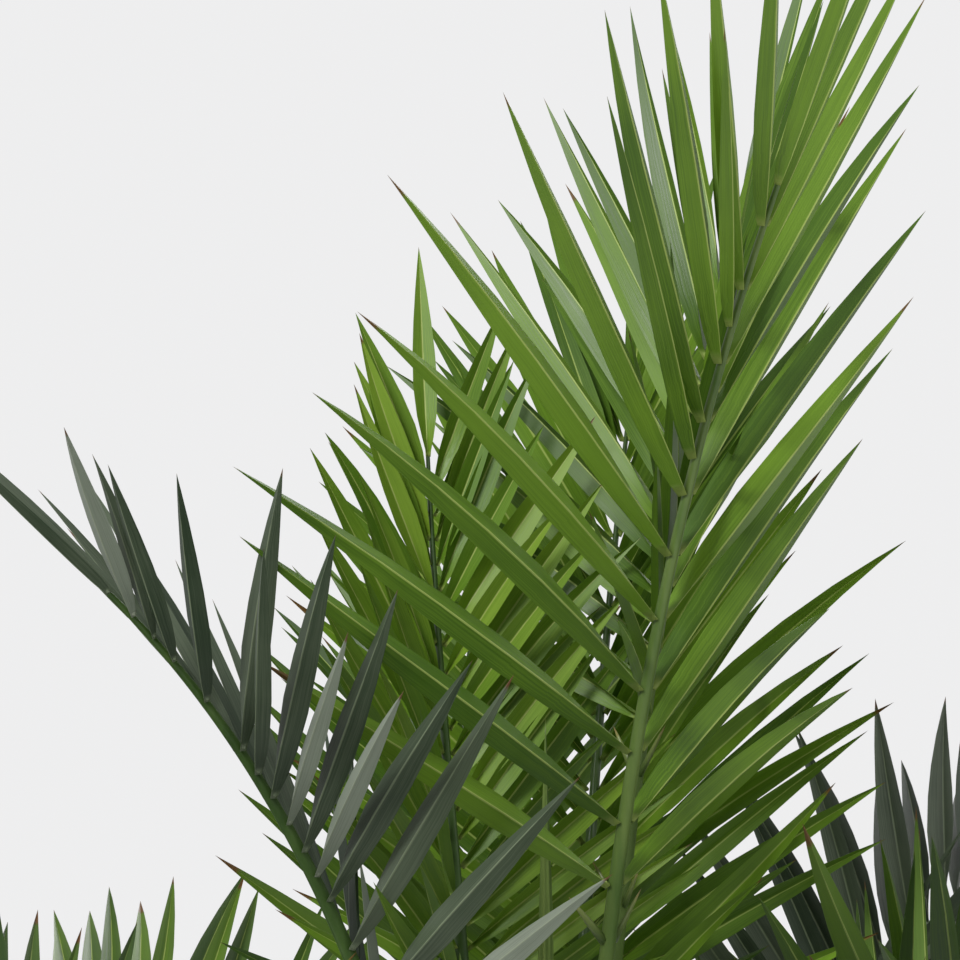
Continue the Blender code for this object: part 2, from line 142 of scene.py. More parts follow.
def noise_nodes(tree, scale, detail, stretch=(1, 1, 1)):
    """Noise in the piece's own coordinates, drawn out along an axis where stretch says so."""
    place = tree_node(tree, "ShaderNodeTexCoord").outputs["Object"]
    mapping = tree_node(tree, "ShaderNodeMapping", [("Vector", place), ("Scale", stretch)])
    noise = tree_node(tree, "ShaderNodeTexNoise",
                      [("Vector", mapping.outputs["Vector"]), ("Scale", scale), ("Detail", detail)])
    return noise.outputs["Fac"]


def grain_group():
    """The grain that the finishes share, each with its own scale, detail and stretch."""
    group = bpy.data.node_groups.new("grain", "ShaderNodeTree")
    for title, kind in (("Scale", "Float"), ("Detail", "Float"), ("Stretch", "Vector")):
        group.interface.new_socket(title, in_out="INPUT", socket_type="NodeSocket" + kind)
    group.interface.new_socket("Grain", in_out="OUTPUT", socket_type="NodeSocketFloat")
    given = group.nodes.new("NodeGroupInput").outputs
    out = group.nodes.new("NodeGroupOutput").inputs
    group.links.new(noise_nodes(group, given["Scale"], given["Detail"], given["Stretch"]), out["Grain"])
    return group


shared_grain = grain_group()


def grain(tree, scale, detail, stretch=(1, 1, 1)):
    """The shared grain, placed in a material's tree with values of its own."""
    values = [("Scale", scale), ("Detail", detail), ("Stretch", stretch)]
    return tree_node(tree, "ShaderNodeGroup", values, node_tree=shared_grain).outputs["Grain"]


def ramp(tree, factor, stops):
    """Colours over a factor, from (place, colour) stops."""
    made = tree_node(tree, "ShaderNodeValToRGB", [("Fac", factor)])
    elements = made.color_ramp.elements
    elements[0].position, elements[0].color = stops[0][0], (*stops[0][1], 1.0)
    elements[1].position, elements[1].color = stops[-1][0], (*stops[-1][1], 1.0)
    for place, colour in stops[1:-1]:
        elements.new(place).color = (*colour, 1.0)
    return made.outputs["Color"]


def feed_shader(tree, colour, roughness=None, bump=None):
    """Leads a colour, a roughness and a bump of (height, strength, distance) to a tree's shader."""
    inputs = tree.nodes["Principled BSDF"].inputs
    tree.links.new(colour, inputs["Base Color"])
    if roughness is not None:
        tree.links.new(roughness, inputs["Roughness"])
    if bump is not None:
        bumped = tree_node(tree, "ShaderNodeBump", zip(("Height", "Strength", "Distance"), bump))
        tree.links.new(bumped.outputs["Normal"], inputs["Normal"])


def circle(radius, sides):
    """Points round a level circle."""
    angles = [2 * math.pi * side / sides for side in range(sides)]
    return [(radius * math.cos(angle), radius * math.sin(angle)) for angle in angles]


def mesh_piece(name, points, faces, materials, indices=None, smooth=True):
    """A piece of the scene from its points, its faces and its materials."""
    mesh = bpy.data.meshes.new(name)
    mesh.from_pydata(np.asarray(points, float).tolist(), [], [tuple(map(int, face)) for face in faces])
    for made in materials:
        mesh.materials.append(made)
    if indices is not None:
        mesh.polygons.foreach_set("material_index", np.asarray(indices, np.int32))
    mesh.polygons.foreach_set("use_smooth", [smooth] * len(mesh.polygons))
    mesh.update()
    return shown(name, mesh)


floor_paper, floor_tree = plain_material("floor_paper", roughness=0.85, specular=0.2)
feed_shader(floor_tree, ramp(floor_tree, grain(floor_tree, scale=3.0, detail=4.0), FLOOR_GREYS))
floor_rim = [(x, y, -FLOOR_DROP) for x, y in circle(FLOOR_RADIUS, FLOOR_SIDES)]
floor = mesh_piece("studio_floor", floor_rim, [tuple(range(FLOOR_SIDES))], [floor_paper])

# Pot
# A plain nursery pot, moulded in dark grey plastic: a tapered wall, a deep rolled rim to lift it by,
# and a shallow moulded ring under the rim. It stands on its flat underside.

POT_HEIGHT = 0.262
POT_FOOT_RADIUS = 0.108
POT_RIM_RADIUS = 0.142
POT_WALL = 0.004
POT_FLOOR = 0.006
POT_SIDES = 128
RIM_DEPTH = 0.022
RIM_OVERHANG = 0.006
RIM_TAPER = 0.0012
RING_FOOT_DROP = 0.020
RING_TOP_DROP = 0.014
RING_RELIEF = 0.0016
RING_CHAMFER = 0.001
CORNER_STEPS = 5
POT_GREYS = [(0.3, (0.040, 0.042, 0.045)), (0.75, (0.060, 0.062, 0.064))]


def lerp(start, end, share):
    return start + (end - start) * share


def pot_radius(height):
    """The outside of the pot's wall at a height, below the rim."""
    return lerp(POT_FOOT_RADIUS, POT_RIM_RADIUS - RIM_OVERHANG, height / POT_HEIGHT)


def turned(profile, sides, radius_at=None):
    """Points and faces of a profile of (radius, height) turned round the Z axis, poles closed."""
    points, rows, faces = [], [], []
    for radius, height in profile:
        if radius == 0:
            rows.append([len(points)])
            points.append((0.0, 0.0, height))
            continue
        rows.append(list(range(len(points), len(points) + sides)))
        for side in range(sides):
            angle = 2 * math.pi * side / sides
            reach = radius_at(angle, height, radius) if radius_at else radius
            points.append((reach * math.cos(angle), reach * math.sin(angle), height))
    for low, high in zip(rows, rows[1:]):
        for side in range(sides):
            after = (side + 1) % sides
            if len(low) == 1:
                faces.append((low[0], high[after], high[side]))
            elif len(high) == 1:
                faces.append((low[side], low[after], high[0]))
            else:
                faces.append((low[side], low[after], high[after], high[side]))
    return points, faces


def rounded(before, corner, after, radius):
    """A few points that round one corner of a profile."""
    before, corner, after = (np.array(point, float) for point in (before, corner, after))
    start = corner + (before - corner) / np.linalg.norm(before - corner) * radius
    end = corner + (after - corner) / np.linalg.norm(after - corner) * radius
    made = []
    for step in range(CORNER_STEPS + 1):
        share = step / CORNER_STEPS
        made.append(tuple((1 - share) ** 2 * start + 2 * share * (1 - share) * corner + share**2 * end))
    return made


def pot_profile():
    """The pot's section from the middle of its underside, over the rim, to the middle of its floor."""
    rim_foot = POT_HEIGHT - RIM_DEPTH
    inner_rim = pot_radius(POT_HEIGHT) - POT_WALL
    ring_low, ring_high = rim_foot - RING_FOOT_DROP, rim_foot - RING_TOP_DROP
    # Each corner of (radius, height) with how far it is rounded
    corners = [
        ((0, 0), 0), ((POT_FOOT_RADIUS, 0), 0.003), ((pot_radius(ring_low), ring_low), 0.001),
        ((pot_radius(ring_low) + RING_RELIEF, ring_low + RING_CHAMFER), 0.0008),
        ((pot_radius(ring_high) + RING_RELIEF, ring_high), 0.0008),
        ((pot_radius(ring_high), ring_high + RING_CHAMFER), 0.001),
        ((pot_radius(rim_foot), rim_foot), 0.0012), ((POT_RIM_RADIUS - RIM_TAPER, rim_foot), 0.0022),
        ((POT_RIM_RADIUS, POT_HEIGHT), 0.0035), ((inner_rim, POT_HEIGHT), 0.0025),
        ((pot_radius(POT_FLOOR) - POT_WALL, POT_FLOOR), 0.003), ((0, POT_FLOOR), 0),
    ]
    profile = [corners[0][0]]
    for (before, _), (corner, radius), (after, _) in zip(corners, corners[1:], corners[2:]):
        profile += rounded(before, corner, after, radius)
    return profile + [corners[-1][0]]


def ranged(tree, value, span, target, way="LINEAR"):
    """A value that goes over a span, turned into one that goes over a target."""
    mapped = tree_node(tree, "ShaderNodeMapRange",
                       [("Value", value), ("From Min", span[0]), ("From Max", span[1]),
                        ("To Min", target[0]), ("To Max", target[1])], interpolation_type=way)
    return mapped.outputs["Result"]


pot_plastic, pot_tree = plain_material("pot_plastic", roughness=0.5, specular=0.4)
pot_cloud = grain(pot_tree, scale=9.0, detail=5.0)
pot_scuffs = grain(pot_tree, scale=60.0, detail=6.0, stretch=(1, 1, 0.12))
pot_pores = grain(pot_tree, scale=900.0, detail=2.0)
feed_shader(pot_tree, ramp(pot_tree, pot_cloud, POT_GREYS),
            ranged(pot_tree, pot_scuffs, (0.4, 0.75), (0.62, 0.42)), bump=(pot_pores, 0.25, 0.0004))
pot = mesh_piece("plastic_pot", *turned(pot_profile(), POT_SIDES), [pot_plastic])
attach(pot, "root")
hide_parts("pot")

# Potting mix
# Damp peat and composted bark, pressed in round the root ball and mounded a little to the stem.
# Loose crumbs of bark and some white perlite lie on it.

MIX_TOP = 0.236
MIX_SIDE_GAP = 0.0002
MIX_FOOT_GAP = 0.0005
MIX_FLOOR_GAP = 0.0004
MIX_RINGS, MIX_SIDES = 44, 110
MOUND_HEIGHT = 0.004
MOUND_REACH = 0.085
SWELL_HEIGHT = 0.0011
CLOD_HEIGHT = 0.0008
GRIT_HEIGHT = 0.0005
TRUNK_FOOT_RADIUS = 0.050
CLEAR_OF_STEM = 0.002
CLEAR_OF_POT = 0.006
GROUND_RINGS, GROUND_SIDES = 16, 48
CRUMB_SHAPES = 5
CRUMB_SEED = 40
CRUMB_SIDES = 5
CRUMB_PROFILE = [(0, -0.5), (0.42, -0.3), (0.5, 0.12), (0.3, 0.42), (0, 0.5)]
CRUMB_STRETCH = (1.0, 0.75, 0.5)
FULL_TURN = 6.28
PEAT_BROWNS = [(0.3, (0.014, 0.009, 0.006)), (0.55, (0.040, 0.026, 0.017)), (0.8, (0.085, 0.056, 0.036))]
BARK_BROWNS = [(0.36, (0.022, 0.013, 0.008)), (0.5, (0.085, 0.048, 0.026)), (0.64, (0.20, 0.125, 0.072))]
PERLITE_WHITES = [(0.3, (0.50, 0.48, 0.44)), (0.7, (0.78, 0.77, 0.74))]


def mix_height(x, y):
    """The fill's uneven surface: a mound at the stem, low swells, clods and grit."""
    mound = MOUND_HEIGHT * math.exp(-((math.hypot(x, y) / MOUND_REACH) ** 4))
    swell = SWELL_HEIGHT * math.sin(31 * x + 1.3) * math.cos(27 * y + 0.4)
    clods = CLOD_HEIGHT * math.sin(140 * x + 2) * math.sin(155 * y)
    grit = GRIT_HEIGHT * math.sin(320 * x) * math.cos(290 * y + 1)
    return MIX_TOP + mound + swell + (clods + grit)


def disc_faces(rings, sides, first=0):
    """Faces between rings of points that widen from the middle, their upper side up."""
    faces = []
    for ring in range(rings - 1):
        for side in range(sides):
            a, b = first + ring * sides + side, first + ring * sides + (side + 1) % sides
            faces.append((a, a + sides, b + sides, b))
    return faces


def mix_mesh():
    """The fill as a closed solid: an uneven top, a side just inside the pot's, and a flat foot."""
    reach = pot_radius(MIX_TOP) - POT_WALL - MIX_SIDE_GAP
    points = [(0, 0, mix_height(0, 0))]
    for ring in range(1, MIX_RINGS + 1):
        points += [(x, y, mix_height(x, y)) for x, y in circle(reach * ring / MIX_RINGS, MIX_SIDES)]
    low = len(points)
    foot = pot_radius(POT_FLOOR) - POT_WALL - MIX_FOOT_GAP
    points += [(x, y, POT_FLOOR + MIX_FLOOR_GAP) for x, y in circle(foot, MIX_SIDES)]
    faces = [(0, 1 + side, 1 + (side + 1) % MIX_SIDES) for side in range(MIX_SIDES)]
    faces += disc_faces(MIX_RINGS + 1, MIX_SIDES, 1)
    faces.append(tuple(low + side for side in reversed(range(MIX_SIDES))))
    return points, faces


def crumb_ground():
    """The open surface that crumbs lie on, clear of the stem and of the pot's wall."""
    inner = TRUNK_FOOT_RADIUS + CLEAR_OF_STEM
    outer = pot_radius(MIX_TOP) - POT_WALL - CLEAR_OF_POT
    points = []
    for ring in range(GROUND_RINGS + 1):
        reach = lerp(inner, outer, ring / GROUND_RINGS)
        points += [(x, y, mix_height(x, y)) for x, y in circle(reach, GROUND_SIDES)]
    return mesh_piece("crumb_ground", points, disc_faces(GROUND_RINGS + 1, GROUND_SIDES), [])


def crumb_shape(index, material):
    """A small angular crumb, a unit long."""
    draw = random.Random(CRUMB_SEED + index)
    points, faces = turned(CRUMB_PROFILE, CRUMB_SIDES + index % 3)
    moved = []
    for point in points:
        moved.append(tuple(c * s * draw.uniform(0.78, 1.2) for c, s in zip(point, CRUMB_STRETCH)))
    return mesh_piece("crumb", moved, faces, [material], smooth=False)


def new_tree(name, **inputs):
    """A Geometry Nodes tree, the outputs of its named inputs, and the input of its result."""
    tree = bpy.data.node_groups.new(name, "GeometryNodeTree")
    tree.interface.new_socket("Geometry", in_out="INPUT", socket_type="NodeSocketGeometry")
    for title, kind in inputs.items():
        tree.interface.new_socket(title, in_out="INPUT", socket_type="NodeSocket" + kind)
    tree.interface.new_socket("Geometry", in_out="OUTPUT", socket_type="NodeSocketGeometry")
    given = tree.nodes.new("NodeGroupInput").outputs
    return tree, given, tree.nodes.new("NodeGroupOutput").inputs["Geometry"]


def dealt_shapes(tree, shapes):
    """The shapes of a collection one by one, each as it was made."""
    dealt = tree_node(tree, "GeometryNodeCollectionInfo",
                      [("Collection", shapes), ("Separate Children", True), ("Reset Children", True)])
    return dealt.outputs["Instances"]


def clad_result(tree, geometry, finish, result):
    """Ends a tree: what it has placed is made real and clad in one finish."""
    real = tree_node(tree, "GeometryNodeRealizeInstances", [("Geometry", geometry)])
    clad = tree_node(tree, "GeometryNodeSetMaterial",
                     [("Geometry", real.outputs["Geometry"]), ("Material", finish)])
    tree.links.new(clad.outputs["Geometry"], result)


def crumb_tree():
    """Strews shapes over a surface, each turned and sized by chance."""
    tree, given, result = new_tree("crumbs_on_the_mix", Density="Float", Seed="Int", Smallest="Float",
                                   Largest="Float", Shapes="Collection", Finish="Material")
    spread = tree_node(tree, "GeometryNodeDistributePointsOnFaces",
                       [("Mesh", given["Geometry"]), ("Density", given["Density"]),
                        ("Seed", given["Seed"])])
    turn = tree_node(tree, "FunctionNodeRandomValue", [(0, (0, 0, 0)), (1, (FULL_TURN,) * 3), ("Seed", 3)],
                     data_type="FLOAT_VECTOR")
    size = tree_node(tree, "FunctionNodeRandomValue",
                     [(2, given["Smallest"]), (3, given["Largest"]), ("Seed", 5)], data_type="FLOAT")
    dealt = dealt_shapes(tree, given["Shapes"])
    placed = tree_node(tree, "GeometryNodeInstanceOnPoints",
                       [("Points", spread.outputs["Points"]), ("Instance", dealt), ("Pick Instance", True),
                        ("Rotation", turn.outputs[0]), ("Scale", size.outputs[1])])
    clad_result(tree, placed.outputs["Instances"], given["Finish"], result)
    return tree


def grown(source, tree, values, name):
    """What a tree makes of an object, as a plain mesh piece; the object itself goes."""
    modifier = source.modifiers.new("grow", "NODES")
    modifier.node_group = tree
    for item in tree.interface.items_tree:
        if item.in_out == "INPUT" and item.name in values:
            modifier[item.identifier] = values[item.name]
    bpy.context.view_layer.update()
    graph = bpy.context.evaluated_depsgraph_get()
    mesh = bpy.data.meshes.new_from_object(source.evaluated_get(graph), depsgraph=graph)
    mesh.name = name
    source.modifiers.remove(modifier)
    bpy.data.objects.remove(source)
    return shown(name, mesh)


def shape_collection(name, shapes):
    """Shapes to be dealt out by a tree, in a collection that the scene itself doesn't show."""
    made = bpy.data.collections.new(name)
    for index, piece in enumerate(shapes):
        piece.name = f"{name}_{index:02d}"
        for holder in list(piece.users_collection):
            holder.objects.unlink(piece)
        made.objects.link(piece)
    return made


def drop_collection(made):
    for piece in list(made.objects):
        bpy.data.objects.remove(piece)
    bpy.data.collections.remove(made)


def grained_material(name, roughness, specular, fine, stops, bump, patches=None):
    """A finish whose colour and bump follow a fine grain, with (share, grain) of patches mixed in."""
    made, tree = plain_material(name, roughness, specular)
    height = factor = grain(tree, *fine)
    if patches:
        share, broad = patches
        both = tree_node(tree, "ShaderNodeMix", [(0, share), (2, height), (3, grain(tree, *broad))],
                         data_type="FLOAT")
        factor = both.outputs[0]
    feed_shader(tree, ramp(tree, factor, stops), bump=(height, *bump))
    return made


peat = grained_material("damp_peat", 0.92, 0.25, (260.0, 8.0), PEAT_BROWNS, bump=(0.9, 0.0016))
mix = mesh_piece("potting_mix_fill", *mix_mesh(), [peat])
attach(mix, "root")
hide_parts("potting_mix")

bark = grained_material("bark_crumbs", 0.88, 0.25, (420.0, 5.0), BARK_BROWNS, bump=(0.6, 0.0006),
                        patches=(0.5, (95.0, 1.0)))
perlite = grained_material("perlite", 0.8, 0.3, (1500.0, 3.0), PERLITE_WHITES, bump=(0.5, 0.0004))

# Loose crumbs: their finish, how many lie on a square metre, their least and greatest size, their seed
CRUMBS = {
    "bark_crumb_layer": (bark, 17000.0, 0.0022, 0.0085, 11),
    "perlite_grains": (perlite, 1020.0, 0.0015, 0.0036, 29),
}
strewn = crumb_tree()
for title, (finish, density, smallest, largest, seed) in CRUMBS.items():
    shapes = shape_collection("crumb_shape", [crumb_shape(index, finish) for index in range(CRUMB_SHAPES)])
    values = {"Density": density, "Seed": seed, "Smallest": smallest, "Largest": largest,
              "Shapes": shapes, "Finish": finish}
    crumbs = grown(crumb_ground(), strewn, values, title)
    drop_collection(shapes)
    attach(crumbs, "root")

# Trunk
# The short swollen stem of a young palm. It is clad in the stubs of fronds that were cut off, in
# the same spiral as the living ones, with brown fibre from their sheaths between them.

TRUNK_FOOT = 0.2413
TRUNK_TIP = 0.405
TRUNK_FLARE = 0.007
TRUNK_WIDEST_RADIUS = 0.068
TRUNK_WIDEST_HEIGHT = 0.315
CORE_SIDES = 160
CORE_LOWER_ROWS, CORE_UPPER_ROWS = 40, 24
CORE_INSET = 0.0035
CORE_TIP_RADIUS = 0.006
RIB_SLANT = 260.0
STUB_COUNT = 74
STUB_SEED = 31
STUB_DEPTH = 0.008
STUB_REACH, STUB_RISE = 0.0125, 0.45
STUB_HALF_WIDTH, STUB_HALF_HEIGHT = 0.0105, 0.0115
GOLDEN_ANGLE = 137.5
LIFE_SIZE = 1.0
HUSK_BROWNS = [(0.34, (0.020, 0.011, 0.006)), (0.5, (0.095, 0.052, 0.026)), (0.66, (0.26, 0.165, 0.090))]
SAWN_TANS = [(0.35, (0.15, 0.095, 0.050)), (0.6, (0.40, 0.29, 0.18))]

# Ribs of matted fibre on the stem: their height, how many stand round it, and their slant
FIBRE_RIBS = [(0.0009, 23, 1.0), (0.0008, 31, -1.3), (0.0005, 90, 0.7)]

# The section of a cut frond foot, and its levels from the stem out: reach, width and rise
STUB_OUTLINE = [(-1, 0), (-0.72, 0.42), (0, 0.62), (0.72, 0.42), (1, 0), (0.55, -0.34), (0, -0.5),
                (-0.55, -0.34)]
STUB_LEVELS = [(-0.25, 1.0, 0.0), (0.1, 0.98, 0.0), (0.45, 0.84, 0.10), (0.8, 0.68, 0.26),
               (0.97, 0.62, 0.36), (1.0, 0.56, 0.38)]


def trunk_radius(height):
    """The trunk's own line: a flared foot, a swollen middle, and a dome that closes at the tip."""
    if height <= TRUNK_WIDEST_HEIGHT:
        share = (height - TRUNK_FOOT) / (TRUNK_WIDEST_HEIGHT - TRUNK_FOOT)
        flare = TRUNK_FLARE * (1 - share) ** 4
        return flare + lerp(TRUNK_FOOT_RADIUS, TRUNK_WIDEST_RADIUS, math.sin(share * math.pi / 2))
    share = (height - TRUNK_WIDEST_HEIGHT) / (TRUNK_TIP - TRUNK_WIDEST_HEIGHT)
    return TRUNK_WIDEST_RADIUS * math.sqrt(max(0.0, 1 - share**2))


def trunk_relief(angle, height, radius):
    """The stem between the stubs, with ribs of fibre that run up and across it."""
    up = height * RIB_SLANT
    ribs = sum(relief * math.sin(count * angle + slant * up) for relief, count, slant in FIBRE_RIBS)
    return radius - CORE_INSET + ribs


def trunk_core():
    """The stem as a closed turned solid, its rows closer where the dome curves in."""
    rows = [(0, TRUNK_FOOT)]
    for row in range(CORE_LOWER_ROWS):
        height = lerp(TRUNK_FOOT, TRUNK_WIDEST_HEIGHT, row / CORE_LOWER_ROWS)
        rows.append((trunk_radius(height), height))
    for row in range(CORE_UPPER_ROWS):
        share = math.sin(math.pi / 2 * row / CORE_UPPER_ROWS)
        height = lerp(TRUNK_WIDEST_HEIGHT, TRUNK_TIP - 0.002, share)
        rows.append((max(trunk_radius(height), CORE_TIP_RADIUS), height))
    rows.append((0, TRUNK_TIP - 0.001))
    return turned(rows, CORE_SIDES, trunk_relief)


def tube_faces(rows, count):
    """Faces between rows of points round a tube, the outside out."""
    faces = []
    for row in range(rows - 1):
        for side in range(count):
            a, b = row * count + side, row * count + (side + 1) % count
            faces.append((b, a, a + count, b + count))
    return faces


def stub_shape(finishes):
    """One cut frond foot, unit sized: a broad lozenge at the stem and a narrower sawn face at its end."""
    count, rows = len(STUB_OUTLINE), len(STUB_LEVELS)
    points = []
    for reach, width, rise in STUB_LEVELS:
        points += [(reach, x * width, y * width + rise) for x, y in STUB_OUTLINE]
    faces = tube_faces(rows, count)
    kinds = [0] * len(faces) + [1, 0]
    faces.append(tuple(reversed(range((rows - 1) * count, rows * count))))
    faces.append(tuple(range(count)))
    return mesh_piece("stub", points, faces, finishes, kinds, smooth=False)


def attribute_of(tree, name, kind="FLOAT_VECTOR"):
    found = tree_node(tree, "GeometryNodeInputNamedAttribute", [("Name", name)], data_type=kind)
    return found.outputs["Attribute"]


def seated_tree():
    """Sets a shape on each seat point: its x, y and z go along the seat's reach, width and height."""
    tree, given, result = new_tree("shapes_on_seats", Shapes="Collection", Size="Float")

    def vectors(operation, first, second):
        key = "Scale" if operation == "SCALE" else 1
        made = tree_node(tree, "ShaderNodeVectorMath", [(0, first), (key, second)], operation=operation)
        return made.outputs[0]

    placed = tree_node(tree, "GeometryNodeInstanceOnPoints",
                       [("Points", given["Geometry"]), ("Instance", dealt_shapes(tree, given["Shapes"])),
                        ("Pick Instance", True), ("Instance Index", attribute_of(tree, "variant", "INT"))])
    real = tree_node(tree, "GeometryNodeRealizeInstances", [("Geometry", placed.outputs["Instances"])])
    here = tree_node(tree, "GeometryNodeInputPosition").outputs["Position"]
    total = attribute_of(tree, "seat")
    own = tree_node(tree, "ShaderNodeSeparateXYZ", [(0, vectors("SUBTRACT", here, total))]).outputs
    bent = tree_node(tree, "ShaderNodeMath", [(0, own["X"]), (1, 2.0)], operation="POWER").outputs[0]
    for name, factor in (("reach", own["X"]), ("width", own["Y"]), ("height", own["Z"]), ("fall", bent)):
        along_axis = vectors("SCALE", attribute_of(tree, name), factor)
        total = vectors("ADD", total, vectors("SCALE", along_axis, given["Size"]))
    moved = tree_node(tree, "GeometryNodeSetPosition",
                      [("Geometry", real.outputs["Geometry"]), ("Position", total)])
    tree.links.new(moved.outputs["Geometry"], result)
    return tree


SEAT_VECTORS = ("seat", "reach", "width", "height", "fall")
KEPT_ATTRIBUTES = {"position", "blade", "tone", "sharp_edge", "sharp_face", "material_index", ".edge_verts",
                   ".corner_vert", ".corner_edge"}


def set_attribute(mesh, name, kind, values):
    """Gives each point of a mesh a number or a vector."""
    field = "vector" if kind == "FLOAT_VECTOR" else "value"
    made = mesh.attributes.new(name, kind, "POINT")
    made.data.foreach_set(field, np.array(values, np.int32 if kind == "INT" else np.float32).ravel())


def seat_mesh(seats):
    """Loose points that carry the vectors by which the shapes are set on them."""
    mesh = bpy.data.meshes.new("seats")
    mesh.from_pydata([tuple(seat["seat"]) for seat in seats], [], [])
    for name in SEAT_VECTORS:
        set_attribute(mesh, name, "FLOAT_VECTOR", [seat.get(name, (0, 0, 0)) for seat in seats])
    set_attribute(mesh, "tone", "FLOAT", [seat["tone"] for seat in seats])
    set_attribute(mesh, "variant", "INT", [seat["variant"] for seat in seats])
    return shown("seats", mesh)


def keep_look_attributes(piece):
    """Drops what only placed the mesh, and keeps what its material reads."""
    for attribute in list(piece.data.attributes):
        if attribute.name not in KEPT_ATTRIBUTES and not attribute.is_required:
            piece.data.attributes.remove(attribute)


def set_on_seats(name, seats, shapes, finish=None):
    """One plain mesh of shapes set on seats. A seat whose axes are mirrored has its width turned back."""
    for seat in seats:
        if np.dot(np.cross(seat["reach"], seat["width"]), seat["height"]) < 0:
            seat["width"] = -np.array(seat["width"])
    held = shape_collection(name + "_shape", shapes)
    piece = grown(seat_mesh(seats), seats_tree, {"Shapes": held, "Size": LIFE_SIZE}, name)
    drop_collection(held)
    keep_look_attributes(piece)
    if finish:
        piece.data.materials.clear()
        piece.data.materials.append(finish)
    return piece


def stub_seats():
    """The old frond feet, in the same spiral as the living fronds, smaller towards the soil."""
    draw = random.Random(STUB_SEED)
    up = np.array((0, 0, 1.0))
    seats = []
    for index in range(STUB_COUNT):
        share = index / (STUB_COUNT - 1)
        height = lerp(TRUNK_FOOT + 0.004, TRUNK_WIDEST_HEIGHT + 0.022, share)
        angle = math.radians(GOLDEN_ANGLE * index + draw.uniform(-4, 4))
        out = np.array((math.cos(angle), math.sin(angle), 0.0))
        across = np.cross(up, out)
        size = lerp(0.75, 1.1, share) * draw.uniform(0.92, 1.08)
        root = trunk_radius(height) - STUB_DEPTH
        seats.append({
            "seat": out * root + up * height, "reach": (out + up * STUB_RISE) * STUB_REACH * size,
            "width": across * STUB_HALF_WIDTH * size, "height": up * STUB_HALF_HEIGHT * size,
            "tone": draw.random(), "variant": 0,
        })
    return seats


husk = grained_material("stem_fibre", 0.93, 0.2, (210.0, 7.0, (1, 1, 0.22)), HUSK_BROWNS,
                        bump=(0.9, 0.0018), patches=(0.35, (34.0, 3.0)))
sawn = grained_material("sawn_stub", 0.9, 0.2, (900.0, 3.0), SAWN_TANS, bump=(0.6, 0.0006))
trunk_piece = mesh_piece("fibrous_stem", *trunk_core(), [husk])
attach(trunk_piece, "root")
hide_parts("trunk")

seats_tree = seated_tree()
stubs = set_on_seats("cut_frond_stubs", stub_seats(), [stub_shape([husk, sawn])])
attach(stubs, "root")

# Fronds: how each one stands
# A young palm's fronds leave the tip of the stem in one spiral, upright in the middle and arching
# lower round the outside. Each is one stiff stalk that thins from a broad foot to a fine tip.

GAP = 0.0003
FROND_COUNT = 25
FROND_SEED = 500
FIRST_AZIMUTH = 25.0
INNER_RADIUS = 0.017
OUTER_RADIUS = 0.064
FROND_LENGTH = 0.80
STALK_SHARE = 0.46
BEND = 1.35
BASE_WIDTH = 0.020
STALK_WIDTH = 0.014
FOOT_SHARE = 0.12
TIP_WIDTH = 0.0034
THICKNESS_SHARE = 0.68
UPPER_SHARE = 0.8
PATH_STEPS = 96
STALK_TEST_STEPS = 24
STALK_TEST_SWELL = 1.12
LEAFLET_LENGTH = 0.245
LEAFLET_PITCH = 0.0305

# From the youngest frond to the oldest: degrees above the level at its foot and at its tip, lift of
# its leaflets in degrees, and the shares of the full length that the frond and its leaflets reach
RISES = (86, 36)
FALLS = (76, -44)
LIFTS = (34, 24)
LENGTH_SHARES = (1.0, 0.70)
LEAFLET_SHARES = (1.0, 0.82)

# The fronds in front, by their place in the spiral: what stands otherwise than by the rule
SEEN_FRONDS = {
    0: {"rise": 87.5, "fall": 74, "sweep": 0, "length": 0.76, "stalk": 0.62, "roll": 10},
    # Frond 1's lime green is partly its young colour and partly painted back light glowing through it
    1: {"rise": 87, "fall": 78, "sweep": -60, "roll": 0, "length": 0.62, "stalk": 0.38, "leaflet": 0.18,
        "colour": "frond_lime"},
    2: {"azimuth": 290, "rise": 85, "fall": 66, "sweep": 30, "roll": 0, "length": 0.78, "stalk": 0.50,
        "leaflet": 0.284, "lift": 24, "pitch": 0.0355},
    3: {"rise": 81, "fall": 58, "sweep": 0, "roll": 0, "length": 0.70, "stalk": 0.38, "leaflet": 0.25},
    4: {"rise": 82, "fall": 40, "bend": 1.6, "sweep": 0, "roll": 0, "length": 0.615, "stalk": 0.44,
        "leaflet": 0.195, "lift": 42, "colour": "frond_dark"},
    5: {"rise": 68, "fall": 16, "sweep": 0, "roll": 0, "length": 0.62},
    6: {"rise": 50, "fall": -10, "sweep": 0, "length": 0.62},
    7: {"azimuth": 261, "rise": 55, "fall": 0, "sweep": 0, "length": 0.58},
    8: {"rise": 64, "fall": 15, "sweep": 0, "roll": 0, "length": 0.62, "colour": "frond_dark"},
    9: {"rise": 49, "fall": -10, "sweep": 0, "length": 0.60},
    10: {"rise": 66, "fall": 18, "sweep": 0, "roll": 0, "length": 0.60},
    11: {"rise": 72, "fall": 34, "sweep": 0, "roll": 0, "length": 0.60},
}

# The order in which the fronds' leaflets find room, the nearest first, and the first frond of which
# the inner and the outer length are told apart
PLACING_ORDER = [2, 4, 0, 3, 1, 5, 8, 10] + [6, 7, 9] + list(range(11, FROND_COUNT))
SPLIT_FROM = 5


def unit(vector):
    return vector / np.linalg.norm(vector)


